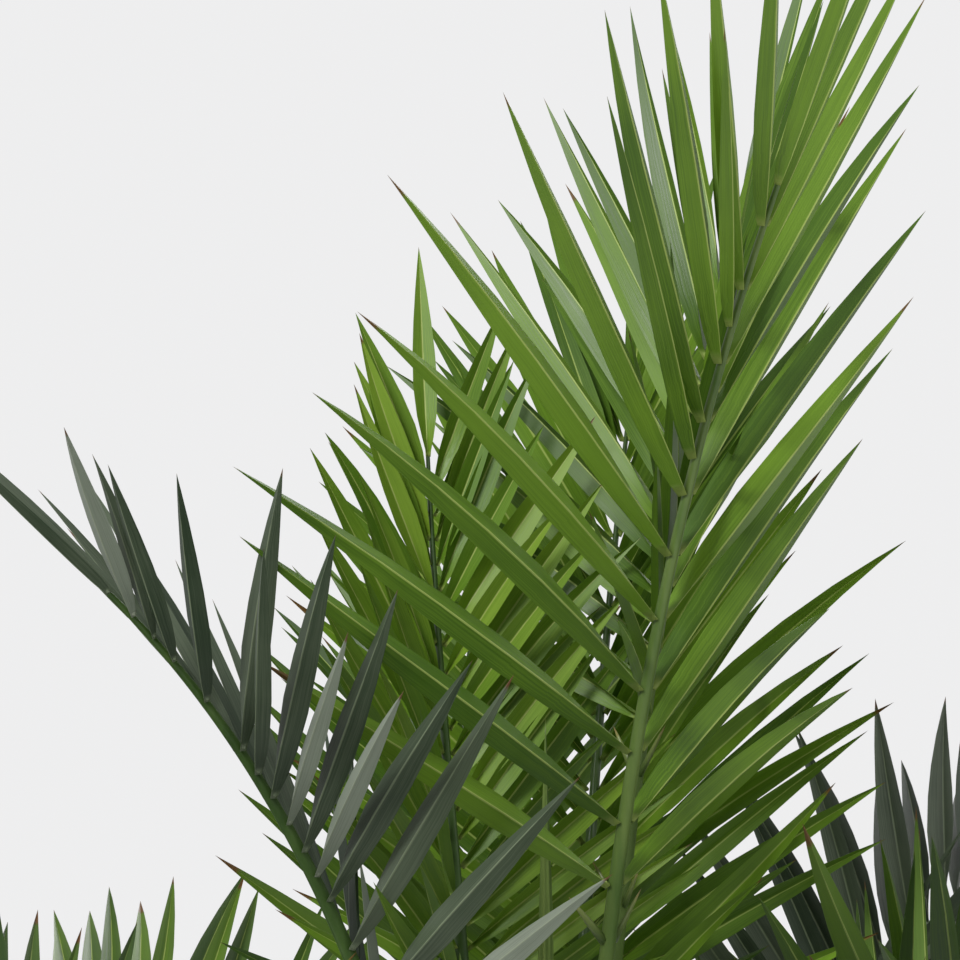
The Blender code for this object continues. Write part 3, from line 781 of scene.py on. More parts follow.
def frond_plan(order):
    """A frond's sizes and lean by its place in the spiral, from 0 for the youngest open one."""
    age = order / (FROND_COUNT - 1)
    draw = random.Random(FROND_SEED + order)
    plan = {
        "order": order,
        "azimuth": FIRST_AZIMUTH + GOLDEN_ANGLE * order,
        "rise": lerp(*RISES, age**0.66) + draw.uniform(-3, 3),
        "fall": lerp(*FALLS, age**0.58) + draw.uniform(-7, 7),
        "bend": BEND,
        "sweep": draw.uniform(-14, 14),
        "roll": draw.uniform(-12, 12),
        "length": FROND_LENGTH * lerp(*LENGTH_SHARES, age) * draw.uniform(0.94, 1.05),
        "stalk": STALK_SHARE,
        "pitch": LEAFLET_PITCH,
        "leaflet": LEAFLET_LENGTH * lerp(*LEAFLET_SHARES, age),
        "lift": lerp(*LIFTS, age),
        "foot": lerp(INNER_RADIUS, OUTER_RADIUS, age**0.55),
        "colour": "frond_green",
    }
    plan.update(SEEN_FRONDS.get(order, {}))
    return plan


def width_along(share):
    """The stalk's width along the frond: a broad foot, a long even stalk, a fine tip."""
    if share < FOOT_SHARE:
        return lerp(BASE_WIDTH, STALK_WIDTH, math.sin(share / FOOT_SHARE * math.pi / 2))
    return lerp(STALK_WIDTH, TIP_WIDTH, ((share - FOOT_SHARE) / (1 - FOOT_SHARE)) ** 1.15)


def path_of(plan, trunk_tree):
    """Positions and directions down the middle of a frond, from its seat on the trunk."""
    azimuth = math.radians(plan["azimuth"])
    foot = plan["foot"]
    above = Vector((foot * math.cos(azimuth), foot * math.sin(azimuth), 2 * TRUNK_TIP))
    seat, normal, _, _ = trunk_tree.ray_cast(above, Vector((0, 0, -1)))
    seat_normal = np.array(normal)
    step = plan["length"] / PATH_STEPS
    place = np.array(seat) + seat_normal * GAP
    rows = []
    for index in range(PATH_STEPS + 1):
        share = index / PATH_STEPS
        rise = math.radians(lerp(plan["rise"], plan["fall"], share ** plan["bend"]))
        turn = azimuth + math.radians(plan["sweep"]) * share
        along = np.array((math.cos(rise) * math.cos(turn), math.cos(rise) * math.sin(turn), math.sin(rise)))
        left = np.array((-math.sin(turn), math.cos(turn), 0.0))
        upper = np.cross(along, left)
        roll = math.radians(plan["roll"])
        side = left * math.cos(roll) + upper * math.sin(roll)
        rows.append((place.copy(), along, side, np.cross(along, side)))
        place = place + along * step
    return rows, seat_normal


def point_on(path, share):
    """Place, forward, sideways and upper directions at a share of the frond's length."""
    index = min(max(share, 0.0), 1.0) * PATH_STEPS
    low = min(int(index), PATH_STEPS - 1)
    part = index - low
    found = [lerp(first, second, part) for first, second in zip(path[low], path[low + 1])]
    return found[0], unit(found[1]), unit(found[2]), unit(found[3])


def ring_at(path, share):
    """Four corners of the stalk: upper left, upper right, lower right, lower left."""
    place, _, side, upper = point_on(path, share)
    half = width_along(share) / 2
    deep = half * THICKNESS_SHARE
    return [
        place + side * half * UPPER_SHARE + upper * deep,
        place - side * half * UPPER_SHARE + upper * deep,
        place - side * half - upper * deep,
        place + side * half - upper * deep,
    ]


def seat_ring(path, seat_normal):
    """The foot's four corners, moved along the stalk onto the plane a hair off the trunk."""
    place, along, _, _ = path[0]
    moved = []
    for corner in ring_at(path, 0.0):
        back = np.dot(place - corner, seat_normal) / np.dot(along, seat_normal)
        moved.append(corner + along * back)
    return moved


def tree_of(points, faces):
    return BVHTree.FromPolygons([Vector(point) for point in points], faces)


def stalk_mesh(path, seat_normal):
    """The bare stalk, a little over size, for the other fronds to keep clear of."""
    points, faces = [], []
    for index in range(STALK_TEST_STEPS + 1):
        share = index / STALK_TEST_STEPS
        ring = seat_ring(path, seat_normal) if share == 0.0 else ring_at(path, share)
        centre = sum(ring) / 4
        points += [centre + (corner - centre) * STALK_TEST_SWELL for corner in ring]
        if index:
            now, last = 4 * index, 4 * (index - 1)
            for corner in range(4):
                after = (corner + 1) % 4
                faces.append((last + corner, last + after, now + after, now + corner))
    return points, faces


def cad_tree(node):
    mesh = frame["nodes"][node].data
    points = [tuple(vertex.co) for vertex in mesh.vertices]
    return tree_of(points, [tuple(face.vertices) for face in mesh.polygons])


trunk_tree = cad_tree("trunk")
plans, paths, stalk_trees = {}, {}, {}
for order in range(FROND_COUNT):
    plans[order] = frond_plan(order)
    paths[order] = path_of(plans[order], trunk_tree)
    stalk_trees[order] = tree_of(*stalk_mesh(*paths[order]))

# Frond stalks
# One green, smooth, hard stalk to each frond, rounded below and flatter above. Its foot spreads
# into a brown sheath that grips the stem. It is grown in one piece with the frond.

STALK_SIDES = 12
STALK_SUNK = 0.006
STALK_ROOT_SHARE = 0.62
SHEATH_SPREAD = 0.28
SHEATH_REACH = 0.035
SHEATH_ZONE = (0.03, 0.13)
STALK_GREENS = [(0.3, (0.040, 0.085, 0.018)), (0.5, (0.070, 0.135, 0.028)), (0.75, (0.150, 0.220, 0.055))]
SHEATH_BROWNS = [(0.3, (0.070, 0.040, 0.020)), (0.7, (0.230, 0.150, 0.075))]


def swept_tree():
    """A solid strip of flattened section along each line of points, by the points' own half widths."""
    tree, given, result = new_tree("swept_along_lines", Sides="Int", Flatness="Float", Finish="Material")
    line = tree_node(tree, "GeometryNodeMeshToCurve", [("Mesh", given["Geometry"])])
    upright = tree_node(tree, "GeometryNodeSetCurveNormal",
                        [("Curve", line.outputs["Curve"]), ("Normal", attribute_of(tree, "upper"))],
                        mode="FREE")
    section = tree_node(tree, "GeometryNodeCurvePrimitiveCircle",
                        [("Resolution", given["Sides"]), ("Radius", 1.0)])
    flat = tree_node(tree, "ShaderNodeCombineXYZ", [("X", 1.0), ("Y", given["Flatness"]), ("Z", 1.0)])
    shaped = tree_node(tree, "GeometryNodeTransform",
                       [("Geometry", section.outputs["Curve"]), ("Scale", flat.outputs["Vector"])])
    strip = tree_node(tree, "GeometryNodeCurveToMesh",
                      [("Curve", upright.outputs["Curve"]), ("Profile Curve", shaped.outputs["Geometry"]),
                       ("Scale", attribute_of(tree, "half_width", "FLOAT")), ("Fill Caps", True)])
    clad_result(tree, strip.outputs["Mesh"], given["Finish"], result)
    return tree


def line_mesh(lines):
    """Lines of points with a half width, an upper direction and a share along, for the sweep."""
    points, edges, halves, uppers, blades, tones = [], [], [], [], [], []
    for line in lines:
        for index, (place, half, upper, along) in enumerate(line["rows"]):
            if index:
                edges.append((len(points) - 1, len(points)))
            points.append(tuple(place))
            halves.append(half)
            uppers.append(tuple(upper))
            blades.append((0.0, along, 0.0))
            tones.append(line["tone"])
    mesh = bpy.data.meshes.new("lines")
    mesh.from_pydata(points, edges, [])
    set_attribute(mesh, "upper", "FLOAT_VECTOR", uppers)
    set_attribute(mesh, "blade", "FLOAT_VECTOR", blades)
    set_attribute(mesh, "half_width", "FLOAT", halves)
    set_attribute(mesh, "tone", "FLOAT", tones)
    return shown("lines", mesh)


def swept(name, lines, sides, flatness, finish):
    """One plain mesh of strips, swept along lines and shaded smooth."""
    values = {"Sides": sides, "Flatness": flatness, "Finish": finish}
    piece = grown(line_mesh(lines), sweep_tree, values, name)
    piece.data.polygons.foreach_set("use_smooth", [True] * len(piece.data.polygons))
    keep_look_attributes(piece)
    return piece


def stalk_line(order):
    """The stalk's middle line, sunk into the stem at its foot, where it spreads as a sheath."""
    path, _ = paths[order]
    place, along, _, upper = path[0]
    rows = [(place - along * STALK_SUNK, width_along(0) * STALK_ROOT_SHARE, upper, 0.0)]
    for index, (place, _, _, upper) in enumerate(path):
        share = index / PATH_STEPS
        sheath = 1 + SHEATH_SPREAD * math.exp(-share / SHEATH_REACH)
        rows.append((place, width_along(share) / 2 * sheath, upper, share))
    return {"rows": rows, "tone": random.Random(order).random()}


def read_attribute(tree, name, output):
    found = tree_node(tree, "ShaderNodeAttribute", attribute_name=name, attribute_type="GEOMETRY")
    return found.outputs[output]


def blade_place(tree):
    """Where a point lies on a leaflet, a spine or a stalk: across it, and along it from the foot."""
    parts = tree_node(tree, "ShaderNodeSeparateXYZ", [(0, read_attribute(tree, "blade", "Vector"))]).outputs
    return parts["X"], parts["Y"]


def eased(tree, value, span, target):
    return ranged(tree, value, span, target, "SMOOTHSTEP")


def mixed(tree, factor, first, second):
    made = tree_node(tree, "ShaderNodeMix", [(0, factor), (6, first), (7, second)], data_type="RGBA")
    return made.outputs[2]


def maths(tree, operation, first, second=0.0):
    return tree_node(tree, "ShaderNodeMath", [(0, first), (1, second)], operation=operation).outputs[0]


def plus(tree, first, second):
    return maths(tree, "ADD", first, second)


def times(tree, first, second):
    return maths(tree, "MULTIPLY", first, second)


stalk_skin, stalk_tree = plain_material("stalk_skin", roughness=0.4)
_, stalk_along = blade_place(stalk_tree)
stalk_streaks = grain(stalk_tree, scale=90.0, detail=5.0, stretch=(1, 1, 0.1))
stalk_tone = plus(stalk_tree, times(stalk_tree, stalk_streaks, 0.7),
                  times(stalk_tree, read_attribute(stalk_tree, "tone", "Fac"), 0.3))
ragged_along = plus(stalk_tree, stalk_along, times(stalk_tree, stalk_streaks, 0.03))
stalk_foot = eased(stalk_tree, ragged_along, SHEATH_ZONE, (1.0, 0.0))
stalk_colour = mixed(stalk_tree, stalk_foot, ramp(stalk_tree, stalk_tone, STALK_GREENS),
                     ramp(stalk_tree, stalk_streaks, SHEATH_BROWNS))
feed_shader(stalk_tree, stalk_colour, eased(stalk_tree, stalk_along, SHEATH_ZONE, (0.8, 0.36)),
            bump=(stalk_streaks, 0.25, 0.0006))

sweep_tree = swept_tree()
stalks = swept("frond_stalks", [stalk_line(order) for order in range(FROND_COUNT)], STALK_SIDES,
               THICKNESS_SHARE, stalk_skin)
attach(stalks, "root")

# Leaflets
# Each stalk carries two rows of stiff leaflets, folded upwards along a pale rib, narrow and pinched
# where they join it, and drawn out to a sharp tip that often dries brown. Slimmer ones stand between
# the pairs. All of them grow from the stalk.

LEAFLET_WIDTH = 0.0235
LEAFLET_FOOT = 0.0075
LAST_PAIR = 0.972
LEAFLET_WIDEST = 0.38
LEAFLET_DEPTH_SHARE = 0.0125
LEAFLET_DROOP = 0.07
SHINGLE_TURN = 24.0
END_LEAFLET_SHARE = 0.68
SPINE_LENGTH = 0.034
SPINE_FOOT = 0.006
SPINE_STATIONS = 3
SPINE_PLACES = (0.62, 0.93)
CLEARANCE = 0.0006
OFF_THE_STALK = 0.09
ROOT_PLACE = 0.45

# The left row of leaflets, then the right
HANDS = (1, -1)

# How many of the places between the pairs hold a leaflet, on the fronds where not all do
BETWEEN_SHARE = {2: 0.10, 4: 0.35}
BETWEEN_BREADTH = 0.86

# Where each frond's draws start: for its stations, its pairs' looks, and the leaflets between them
STATION_SEED, PAIR_SEED, BETWEEN_SEED = 70, 900, 1300

# Which fronds are bright, from which one on they are mature, and from which tone on a leaflet shows
# its pale waxy side, painted paler for a sheen of reflected light, or has dried
BRIGHT_FRONDS = (0, 2, 3)
FIRST_MATURE = 13
WAX_AND_SHEEN_FROM = 0.87
DRY_FROM = 0.985

# Turns tried in order when a leaflet would touch something: forward angle, lift, share of length
TRIES = [
    (0, 0, 1), (5, 8, 1), (-5, -8, 1), (0, 16, 1), (0, -16, 1),
    (8, 0, 0.8), (-8, 14, 0.8), (0, 0, 0.6), (6, 18, 0.5),
]


def stations_of(plan):
    """Where the spines and the pairs of leaflets leave the stalk, with their sizes and angles."""
    draw = random.Random(STATION_SEED + plan["order"])
    blade = plan["length"] * (1 - plan["stalk"])
    pairs = round(blade / plan["pitch"])
    stations = []
    for index in range(SPINE_STATIONS):
        share = plan["stalk"] * lerp(*SPINE_PLACES, index / (SPINE_STATIONS - 1))
        pair = [spine(draw, index) for _ in HANDS]
        stations.append({"share": share, "spine": True, "pair": pair})
    for index in range(pairs):
        along = index / (pairs - 1)
        share = lerp(plan["stalk"], LAST_PAIR, along)
        share += draw.uniform(-0.1, 0.1) / pairs * (1 - plan["stalk"])
        pair = [leaflet(draw, plan, along) for _ in HANDS]
        stations.append({"share": share, "spine": False, "pair": pair})
    return stations


def spine(draw, index):
    """One spine's length, forward angle and lift. They grow longer towards the leaflets."""
    growing = lerp(0.55, 1.0, index / (SPINE_STATIONS - 1))
    return {
        "length": SPINE_LENGTH * growing * draw.uniform(0.85, 1.1),
        "angle": draw.uniform(34, 46),
        "lift": draw.uniform(10, 30),
    }


def leaflet(draw, plan, along):
    """One leaflet's length, forward angle and lift at a share of the way along the blade."""
    fullness = 0.85 + 0.15 * math.sin(math.pi * min(1.0, along * 1.15) ** 0.8)
    ending = lerp(1.0, 0.80, max(0.0, along - 0.7) / 0.3)
    return {
        "length": plan["leaflet"] * fullness * ending * draw.uniform(0.93, 1.06),
        "angle": lerp(63, 20, along**1.1) + draw.uniform(-4, 4),
        "lift": plan["lift"] * lerp(1.0, 0.7, along) + draw.uniform(-5, 5),
        "droop": LEAFLET_DROOP * draw.uniform(0.4, 1.6),
        "turn": SHINGLE_TURN + draw.uniform(-5, 5),
    }


def leaflet_frame(path, share, hand, made):
    """Start, direction, and the blade's own width and upper directions, for one leaflet."""
    place, along, side, upper = point_on(path, share)
    angle = math.radians(made["angle"])
    lift = math.radians(made["lift"])
    outward = side * hand * math.cos(lift) + upper * math.sin(lift)
    direction = unit(along * math.cos(angle) + outward * math.sin(angle))
    across = unit(along - direction * np.dot(along, direction))
    face = np.cross(across, direction) * hand
    face = face if np.dot(face, upper) > 0 else -face
    turn = math.radians(made.get("turn", 0.0))
    width = across * math.cos(turn) + face * math.sin(turn)
    face = face * math.cos(turn) - across * math.sin(turn)
    start = place + side * hand * width_along(share) * ROOT_PLACE
    return start, direction, width, face


def leaflet_half(length):
    """Half a leaflet's greatest width, less on a short one."""
    return LEAFLET_WIDTH / 2 * min(1.0, length / 0.2) ** 0.5


def droop_of(made):
    """How its own weight lowers a leaflet's tip."""
    return np.array((0.0, 0.0, -made["droop"])) * made["length"]


def leaflet_points(path, share, hand, made, swell=0.0):
    """Two edges and the keel at the widest place, then the tip."""
    start, direction, width, face = leaflet_frame(path, share, hand, made)
    length = made["length"]
    half = leaflet_half(length) + swell
    deep = LEAFLET_DEPTH_SHARE * length + 2 * swell

    def middle(along):
        return start + direction * length * along + droop_of(made) * along**2

    centre = middle(LEAFLET_WIDEST) + face * (0.4 * deep)
    tip = middle(1.0) + direction * swell
    return [centre - width * half, centre + width * half, centre - face * deep, tip]


def foot_shares(plan, station):
    """The shares of the frond's length between which a leaflet or a spine joins the stalk."""
    foot = SPINE_FOOT if station["spine"] else LEAFLET_FOOT
    half = foot / plan["length"] / 2
    return station["share"] - half, station["share"] + half


def try_leaflet(path, plan, station, hand, made):
    """The candidate as a closed shape a little over size, starting just off the stalk."""
    points = leaflet_points(path, station["share"], hand, made, CLEARANCE)
    low, high = foot_shares(plan, station)
    before, after = ring_at(path, low), ring_at(path, high)
    upper, lower = (0, 3) if hand > 0 else (1, 2)
    corners = [before[upper], after[upper], after[lower], before[lower]]
    targets = [points[0], points[1], points[2], points[2]]
    feet = [lerp(corner, target, OFF_THE_STALK) for corner, target in zip(corners, targets)]
    faces = [(0, 1, 5, 4), (1, 2, 6, 5), (2, 3, 6), (3, 0, 4, 6), (0, 3, 2, 1)]
    faces += [(4, 5, 7), (5, 6, 7), (6, 4, 7)]
    return feet + points, faces


def settle_spine(path, station, place, others):
    """Leaves a spine out where something stands in its way."""
    made = station["pair"][place]
    start, direction, width, _ = leaflet_frame(path, station["share"], 1 - 2 * place, made)
    tip = start + direction * (made["length"] + CLEARANCE)
    points = [start + width * CLEARANCE, start - width * CLEARANCE, tip]
    shape = tree_of(points, [(0, 1, 2)])
    if any(shape.overlap(other) for other in others):
        station["pair"][place] = None


def settle(plan, path, stations, others):
    """Turns or shortens each leaflet until it is clear of all that stands, or leaves it out."""
    own_points, own_faces = [], []
    for station in stations:
        for place, hand in enumerate(HANDS):
            if station["spine"]:
                settle_spine(path, station, place, others)
                continue
            made = station["pair"][place]
            chosen = None
            own = tree_of(own_points, own_faces) if own_points else None
            for angle, lift, share in TRIES:
                changed = dict(made)
                changed["angle"] += angle
                changed["lift"] += lift
                changed["length"] *= share
                points, faces = try_leaflet(path, plan, station, hand, changed)
                shape = tree_of(points, faces)
                if own and shape.overlap(own):
                    continue
                if any(shape.overlap(other) for other in others):
                    continue
                chosen = changed
                break
            station["pair"][place] = chosen
            if chosen:
                count = len(own_points)
                own_points += points
                own_faces += [tuple(corner + count for corner in face) for face in faces]
    return tree_of(own_points, own_faces)


# A leaflet's outline and fold from foot to tip: share along, half width, rise of the edges, keel
BLADE_ROWS = [
    (0.000, 0.20, 0.60, -0.80), (0.030, 0.24, 1.25, -0.90), (0.090, 0.48, 1.45, -1.15),
    (0.190, 0.80, 1.20, -1.30), (0.330, 1.00, 0.95, -1.30), (0.490, 0.93, 0.80, -1.20),
    (0.640, 0.74, 0.62, -1.00), (0.790, 0.47, 0.42, -0.72), (0.915, 0.20, 0.18, -0.38),
]
BLADE_CORNERS = 6
BLADE_SHARE = 0.76
SHELL_DEPTH = 0.10
FOLD_DEPTH = 1.6

# How full the blade is, and how its tip bends sideways, in each of the shapes that are dealt out
BLADE_SHAPES = [(1.0, 0.0), (0.94, 0.9), (1.06, -0.9)]


def blade_shape(fullness, tip_bend):
    """One folded leaflet, a thin closed shell: the two edges and the fold above, the same below."""
    points, blades = [], []
    for along, half, rise, keel in BLADE_ROWS:
        half = half**fullness * BLADE_SHARE
        shift = tip_bend * max(0.0, along - 0.5) ** 2
        thin = SHELL_DEPTH * lerp(1.0, 0.5, along)
        upper = [(-1, rise), (0, keel + FOLD_DEPTH * thin), (1, rise)]
        lower = [(1, rise - thin), (0, keel), (-1, rise - thin)]
        for across, height in upper + lower:
            points.append((along, across * half + shift, height))
            blades.append((across, along, 0.0))
    faces = tube_faces(len(BLADE_ROWS), BLADE_CORNERS)
    last, tip = len(points) - BLADE_CORNERS, len(points)
    points.append((1.0, tip_bend * 0.25, 0.0))
    blades.append((0.0, 1.0, 0.0))
    faces += [(last + (side + 1) % BLADE_CORNERS, last + side, tip) for side in range(BLADE_CORNERS)]
    faces.append(tuple(range(BLADE_CORNERS)))
    shape = mesh_piece("blade", points, faces, [])
    set_attribute(shape.data, "blade", "FLOAT_VECTOR", blades)
    marks = []
    for edge in shape.data.edges:
        low, high = edge.vertices
        marks.append(low % BLADE_CORNERS == high % BLADE_CORNERS or tip in (low, high))
    creases = shape.data.attributes.new("sharp_edge", "BOOLEAN", "EDGE")
    creases.data.foreach_set("value", marks)
    return shape


def leaflet_seat(path, share, hand, made, breadth, sway, tone, variant):
    """The seat of one leaflet: its foot, its own axes, and how its tip falls and sways."""
    start, direction, width, face = leaflet_frame(path, share, hand, made)
    length = made["length"]
    return {
        "seat": start, "reach": direction * length, "width": width * leaflet_half(length) * breadth,
        "height": face * LEAFLET_DEPTH_SHARE * length, "fall": droop_of(made) + width * sway * length,
        "tone": tone, "variant": variant,
    }


def frond_seats(plan, path, stations):
    """The seats of all of one frond's leaflets, as they stand after settling."""
    draw = random.Random(PAIR_SEED + plan["order"])
    seats = []
    for station in stations:
        for place, hand in enumerate(HANDS):
            made = station["pair"][place]
            tone, sway, variant = draw.random(), draw.uniform(-0.035, 0.035), draw.randrange(3)
            if not station["spine"] and made:
                seats.append(leaflet_seat(path, station["share"], hand, made, 1.0, sway, tone, variant))
    seats += between_seats(plan, path, stations)
    place, along, side, upper = point_on(path, 1.0)
    length = plan["leaflet"] * END_LEAFLET_SHARE
    seats.append({
        "seat": place, "reach": along * length, "width": side * leaflet_half(length),
        "height": upper * LEAFLET_DEPTH_SHARE * length, "fall": upper * 0.0,
        "tone": draw.random(), "variant": 0,
    })
    return seats


def between_seats(plan, path, stations):
    """Slimmer leaflets that stand between the pairs, so that each row is as close as a living one."""
    draw = random.Random(BETWEEN_SEED + plan["order"])
    share_of = BETWEEN_SHARE.get(plan["order"], 1.0)
    bearing = [station for station in stations if not station["spine"]]
    seats = []
    for low, high in zip(bearing, bearing[1:]):
        for place, hand in enumerate(HANDS):
            chance, size = draw.random(), draw.uniform(0.80, 0.97)
            turn, lift = draw.uniform(-4, 4), draw.choice((-13, 12))
            sway, tone = draw.uniform(-0.04, 0.04), draw.random()
            first, second = low["pair"][place], high["pair"][place]
            if chance > share_of or not first or not second:
                continue
            made = dict(first)
            made["angle"] = (first["angle"] + second["angle"]) / 2 + turn
            made["lift"] += lift + draw.uniform(-4, 4)
            made["length"] = min(first["length"], second["length"]) * size
            share = (low["share"] + high["share"]) / 2
            variant = draw.randrange(3)
            seats.append(leaflet_seat(path, share, hand, made, BETWEEN_BREADTH, sway, tone, variant))
    return seats


VEINS_ACROSS, VEINS_ALONG, VEINS_APART = 11.0, 1.6, 60.0
DRIEST_TIP = 0.16
LEAF_SPECULAR = 0.38
VEIN_DEPTH = 0.75
RIB_WIDTH = 0.095
TIP_BROWN = (0.16, 0.07, 0.025)


def leaf_group():
    """The look of a leaflet: fine veins, soft patches, a pale rib in the fold, a dry tip."""
    group = bpy.data.node_groups.new("leaf_blade", "ShaderNodeTree")
    for title in ("Deep Color", "Bright Color", "Rib Color", "Tip Color"):
        group.interface.new_socket(title, in_out="INPUT", socket_type="NodeSocketColor")
    for title in ("Vein Depth", "Rib Width", "Dry Tips"):
        group.interface.new_socket(title, in_out="INPUT", socket_type="NodeSocketFloat")
    for title, kind in (("Color", "Color"), ("Roughness", "Float"), ("Height", "Float")):
        group.interface.new_socket(title, in_out="OUTPUT", socket_type="NodeSocket" + kind)
    given = group.nodes.new("NodeGroupInput").outputs
    out = group.nodes.new("NodeGroupOutput").inputs
    across, along = blade_place(group)
    tone = read_attribute(group, "tone", "Fac")

    # Fine veins run along the blade, in a pattern of its own on each leaflet
    drawn_out = tree_node(group, "ShaderNodeCombineXYZ",
                          [("X", times(group, across, VEINS_ACROSS)),
                           ("Y", times(group, along, VEINS_ALONG)),
                           ("Z", times(group, tone, VEINS_APART))])
    veins = tree_node(group, "ShaderNodeTexNoise",
                      [("Vector", drawn_out.outputs[0]), ("Scale", 1.6), ("Detail", 3.0)]).outputs[0]
    patches = noise_nodes(group, scale=14.0, detail=3.0)
    shade = plus(group, times(group, patches, 0.55), times(group, tone, 0.45))
    shade = plus(group, shade, times(group, maths(group, "SUBTRACT", veins, 0.5), given["Vein Depth"]))
    brightness = eased(group, shade, (0.15, 0.85), (0.0, 1.0))
    green = mixed(group, brightness, given["Deep Color"], given["Bright Color"])

    # The rib in the fold is pale and fades towards the tip, and so is the foot
    off_rib = maths(group, "DIVIDE", maths(group, "ABSOLUTE", across), given["Rib Width"])
    rib = times(group, eased(group, off_rib, (0.4, 1.0), (1.0, 0.0)),
                eased(group, along, (0.72, 0.98), (0.9, 0.1)))
    foot = eased(group, along, (0.004, 0.035), (0.85, 0.0))
    marked = mixed(group, maths(group, "MAXIMUM", rib, foot), green, given["Rib Color"])

    # A few tips have dried, the more the higher the leaflet's tone
    dry_length = times(group, maths(group, "POWER", tone, 3.0), times(group, given["Dry Tips"], DRIEST_TIP))
    past_green = maths(group, "SUBTRACT", along, maths(group, "SUBTRACT", 1.0, dry_length))
    dried = eased(group, past_green, (-0.022, 0.004), (0.0, 0.92))
    group.links.new(mixed(group, dried, marked, given["Tip Color"]), out["Color"])
    group.links.new(eased(group, veins, (0.3, 0.7), (0.34, 0.48)), out["Roughness"])
    height = plus(group, veins, times(group, rib, 0.8))
    group.links.new(times(group, height, eased(group, along, (0.30, 0.72), (1.0, 0.0))), out["Height"])
    return group


# Leaflets by finish: the deep and the bright colour, the rib's, and how many tips are dry
LEAF_LOOKS = {
    "leaf_bright": ((0.058, 0.13, 0.009), (0.165, 0.3, 0.02), (0.4, 0.5, 0.13), 0.5),
    "leaf_green": ((0.036, 0.086, 0.009), (0.118, 0.215, 0.02), (0.33, 0.42, 0.11), 0.5),
    "leaf_mature": ((0.03, 0.07, 0.011), (0.09, 0.165, 0.024), (0.28, 0.35, 0.11), 0.9),
    "leaf_dark": ((0.032, 0.055, 0.028), (0.13, 0.165, 0.105), (0.25, 0.3, 0.19), 0.5),
    # The lime is partly young growth and partly painted back light glowing through the leaflets
    "leaf_lime": ((0.1, 0.21, 0.012), (0.235, 0.38, 0.032), (0.43, 0.52, 0.14), 0.3),
    # The pale grey is partly the waxy bloom and partly a painted sheen of light reflected off it
    "leaf_pale": ((0.14, 0.17, 0.12), (0.3, 0.34, 0.27), (0.38, 0.42, 0.31), 0.3),
    "leaf_dry": ((0.15, 0.07, 0.028), (0.33, 0.185, 0.08), (0.42, 0.28, 0.13), 1.0),
}
leaf_blade = leaf_group()


def leaf_material(name, deep, bright, rib, dry_tips):
    """One finish of leaflets: the shared look of a leaflet in its own colours."""
    made, tree = plain_material(name, roughness=0.42, specular=LEAF_SPECULAR)
    colours = {"Deep Color": deep, "Bright Color": bright, "Rib Color": rib, "Tip Color": TIP_BROWN}
    values = [(title, (*colour, 1.0)) for title, colour in colours.items()]
    values += [("Vein Depth", VEIN_DEPTH), ("Rib Width", RIB_WIDTH), ("Dry Tips", dry_tips)]
    look = tree_node(tree, "ShaderNodeGroup", values, node_tree=leaf_blade).outputs
    feed_shader(tree, look["Color"], look["Roughness"], bump=(look["Height"], 0.35, 0.0004))
    return made


def leaf_finish(plan):
    """The finish of each spray of leaflets, by the frond it grows on."""
    if plan["colour"] == "frond_dark":
        return "leaf_dark"
    # Lime leaflets: young colour with painted back light shining through
    if plan["colour"] == "frond_lime":
        return "leaf_lime"
    if plan["order"] in BRIGHT_FRONDS:
        return "leaf_bright"
    return "leaf_green" if plan["order"] < FIRST_MATURE else "leaf_mature"


def seat_finish(finish, tone):
    """A few leaflets of a spray show their pale grey waxy side, made paler by a painted sheen of reflected
    light, and a very few have dried brown.
    """
    if finish == "leaf_dark" and tone > WAX_AND_SHEEN_FROM:
        return "leaf_pale"
    return "leaf_dry" if finish in ("leaf_green", "leaf_mature") and tone > DRY_FROM else finish


standing = [trunk_tree, cad_tree("spear_leaf")]
seats_by_finish = {finish: [] for finish in LEAF_LOOKS}
nodes_by_finish = {finish: [] for finish in LEAF_LOOKS}
settled = {}
for order in PLACING_ORDER:
    plan, (path, _) = plans[order], paths[order]
    settled[order] = stations_of(plan)
    others = standing + [tree for number, tree in stalk_trees.items() if number != order]
    standing.append(settle(plan, path, settled[order], others))
    finish = leaf_finish(plan)
    for seat in frond_seats(plan, path, settled[order]):
        seats_by_finish[seat_finish(finish, seat["tone"])].append(seat)
    ends = [""] if order < SPLIT_FROM else ["_inner", "_outer"]
    nodes_by_finish[finish] += [f"frond_{order + 1:02d}{end}" for end in ends]

for finish, look in LEAF_LOOKS.items():
    shapes = [blade_shape(fullness, tip_bend) for fullness, tip_bend in BLADE_SHAPES]
    title = finish.replace("leaf_", "leaflets_")
    leaflets = set_on_seats(title, seats_by_finish[finish], shapes, leaf_material(finish, *look))
    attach(leaflets, "root")
    if nodes_by_finish[finish]:
        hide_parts(*nodes_by_finish[finish])

# Spines
# The lowest leaflets of every frond are hardened into short sharp spines, pale green with a
# straw-coloured point, in pairs on the bare part of the stalk.

SPINE_SUNK = 0.002
SPINE_HALF_WIDTH, SPINE_HALF_HEIGHT = 0.0026, 0.0017
SPINE_SIDES = 6
SPINE_PROFILE = [(0, -0.02), (1.0, 0.0), (0.82, 0.35), (0.45, 0.75), (0, 1.0)]
SPINE_COLOURS = [(0.1, (0.090, 0.150, 0.035)), (0.8, (0.240, 0.290, 0.080)), (1.0, (0.420, 0.300, 0.120))]


def spine_shape():
    """One spine, a unit long and a unit in half width, its point along X."""
    points, faces = turned(SPINE_PROFILE, SPINE_SIDES)
    shape = mesh_piece("spine", [(z, x, y) for x, y, z in points], faces, [])
    blades = [(1.0, vertex.co.x, 0.0) for vertex in shape.data.vertices]
    set_attribute(shape.data, "blade", "FLOAT_VECTOR", blades)
    return shape


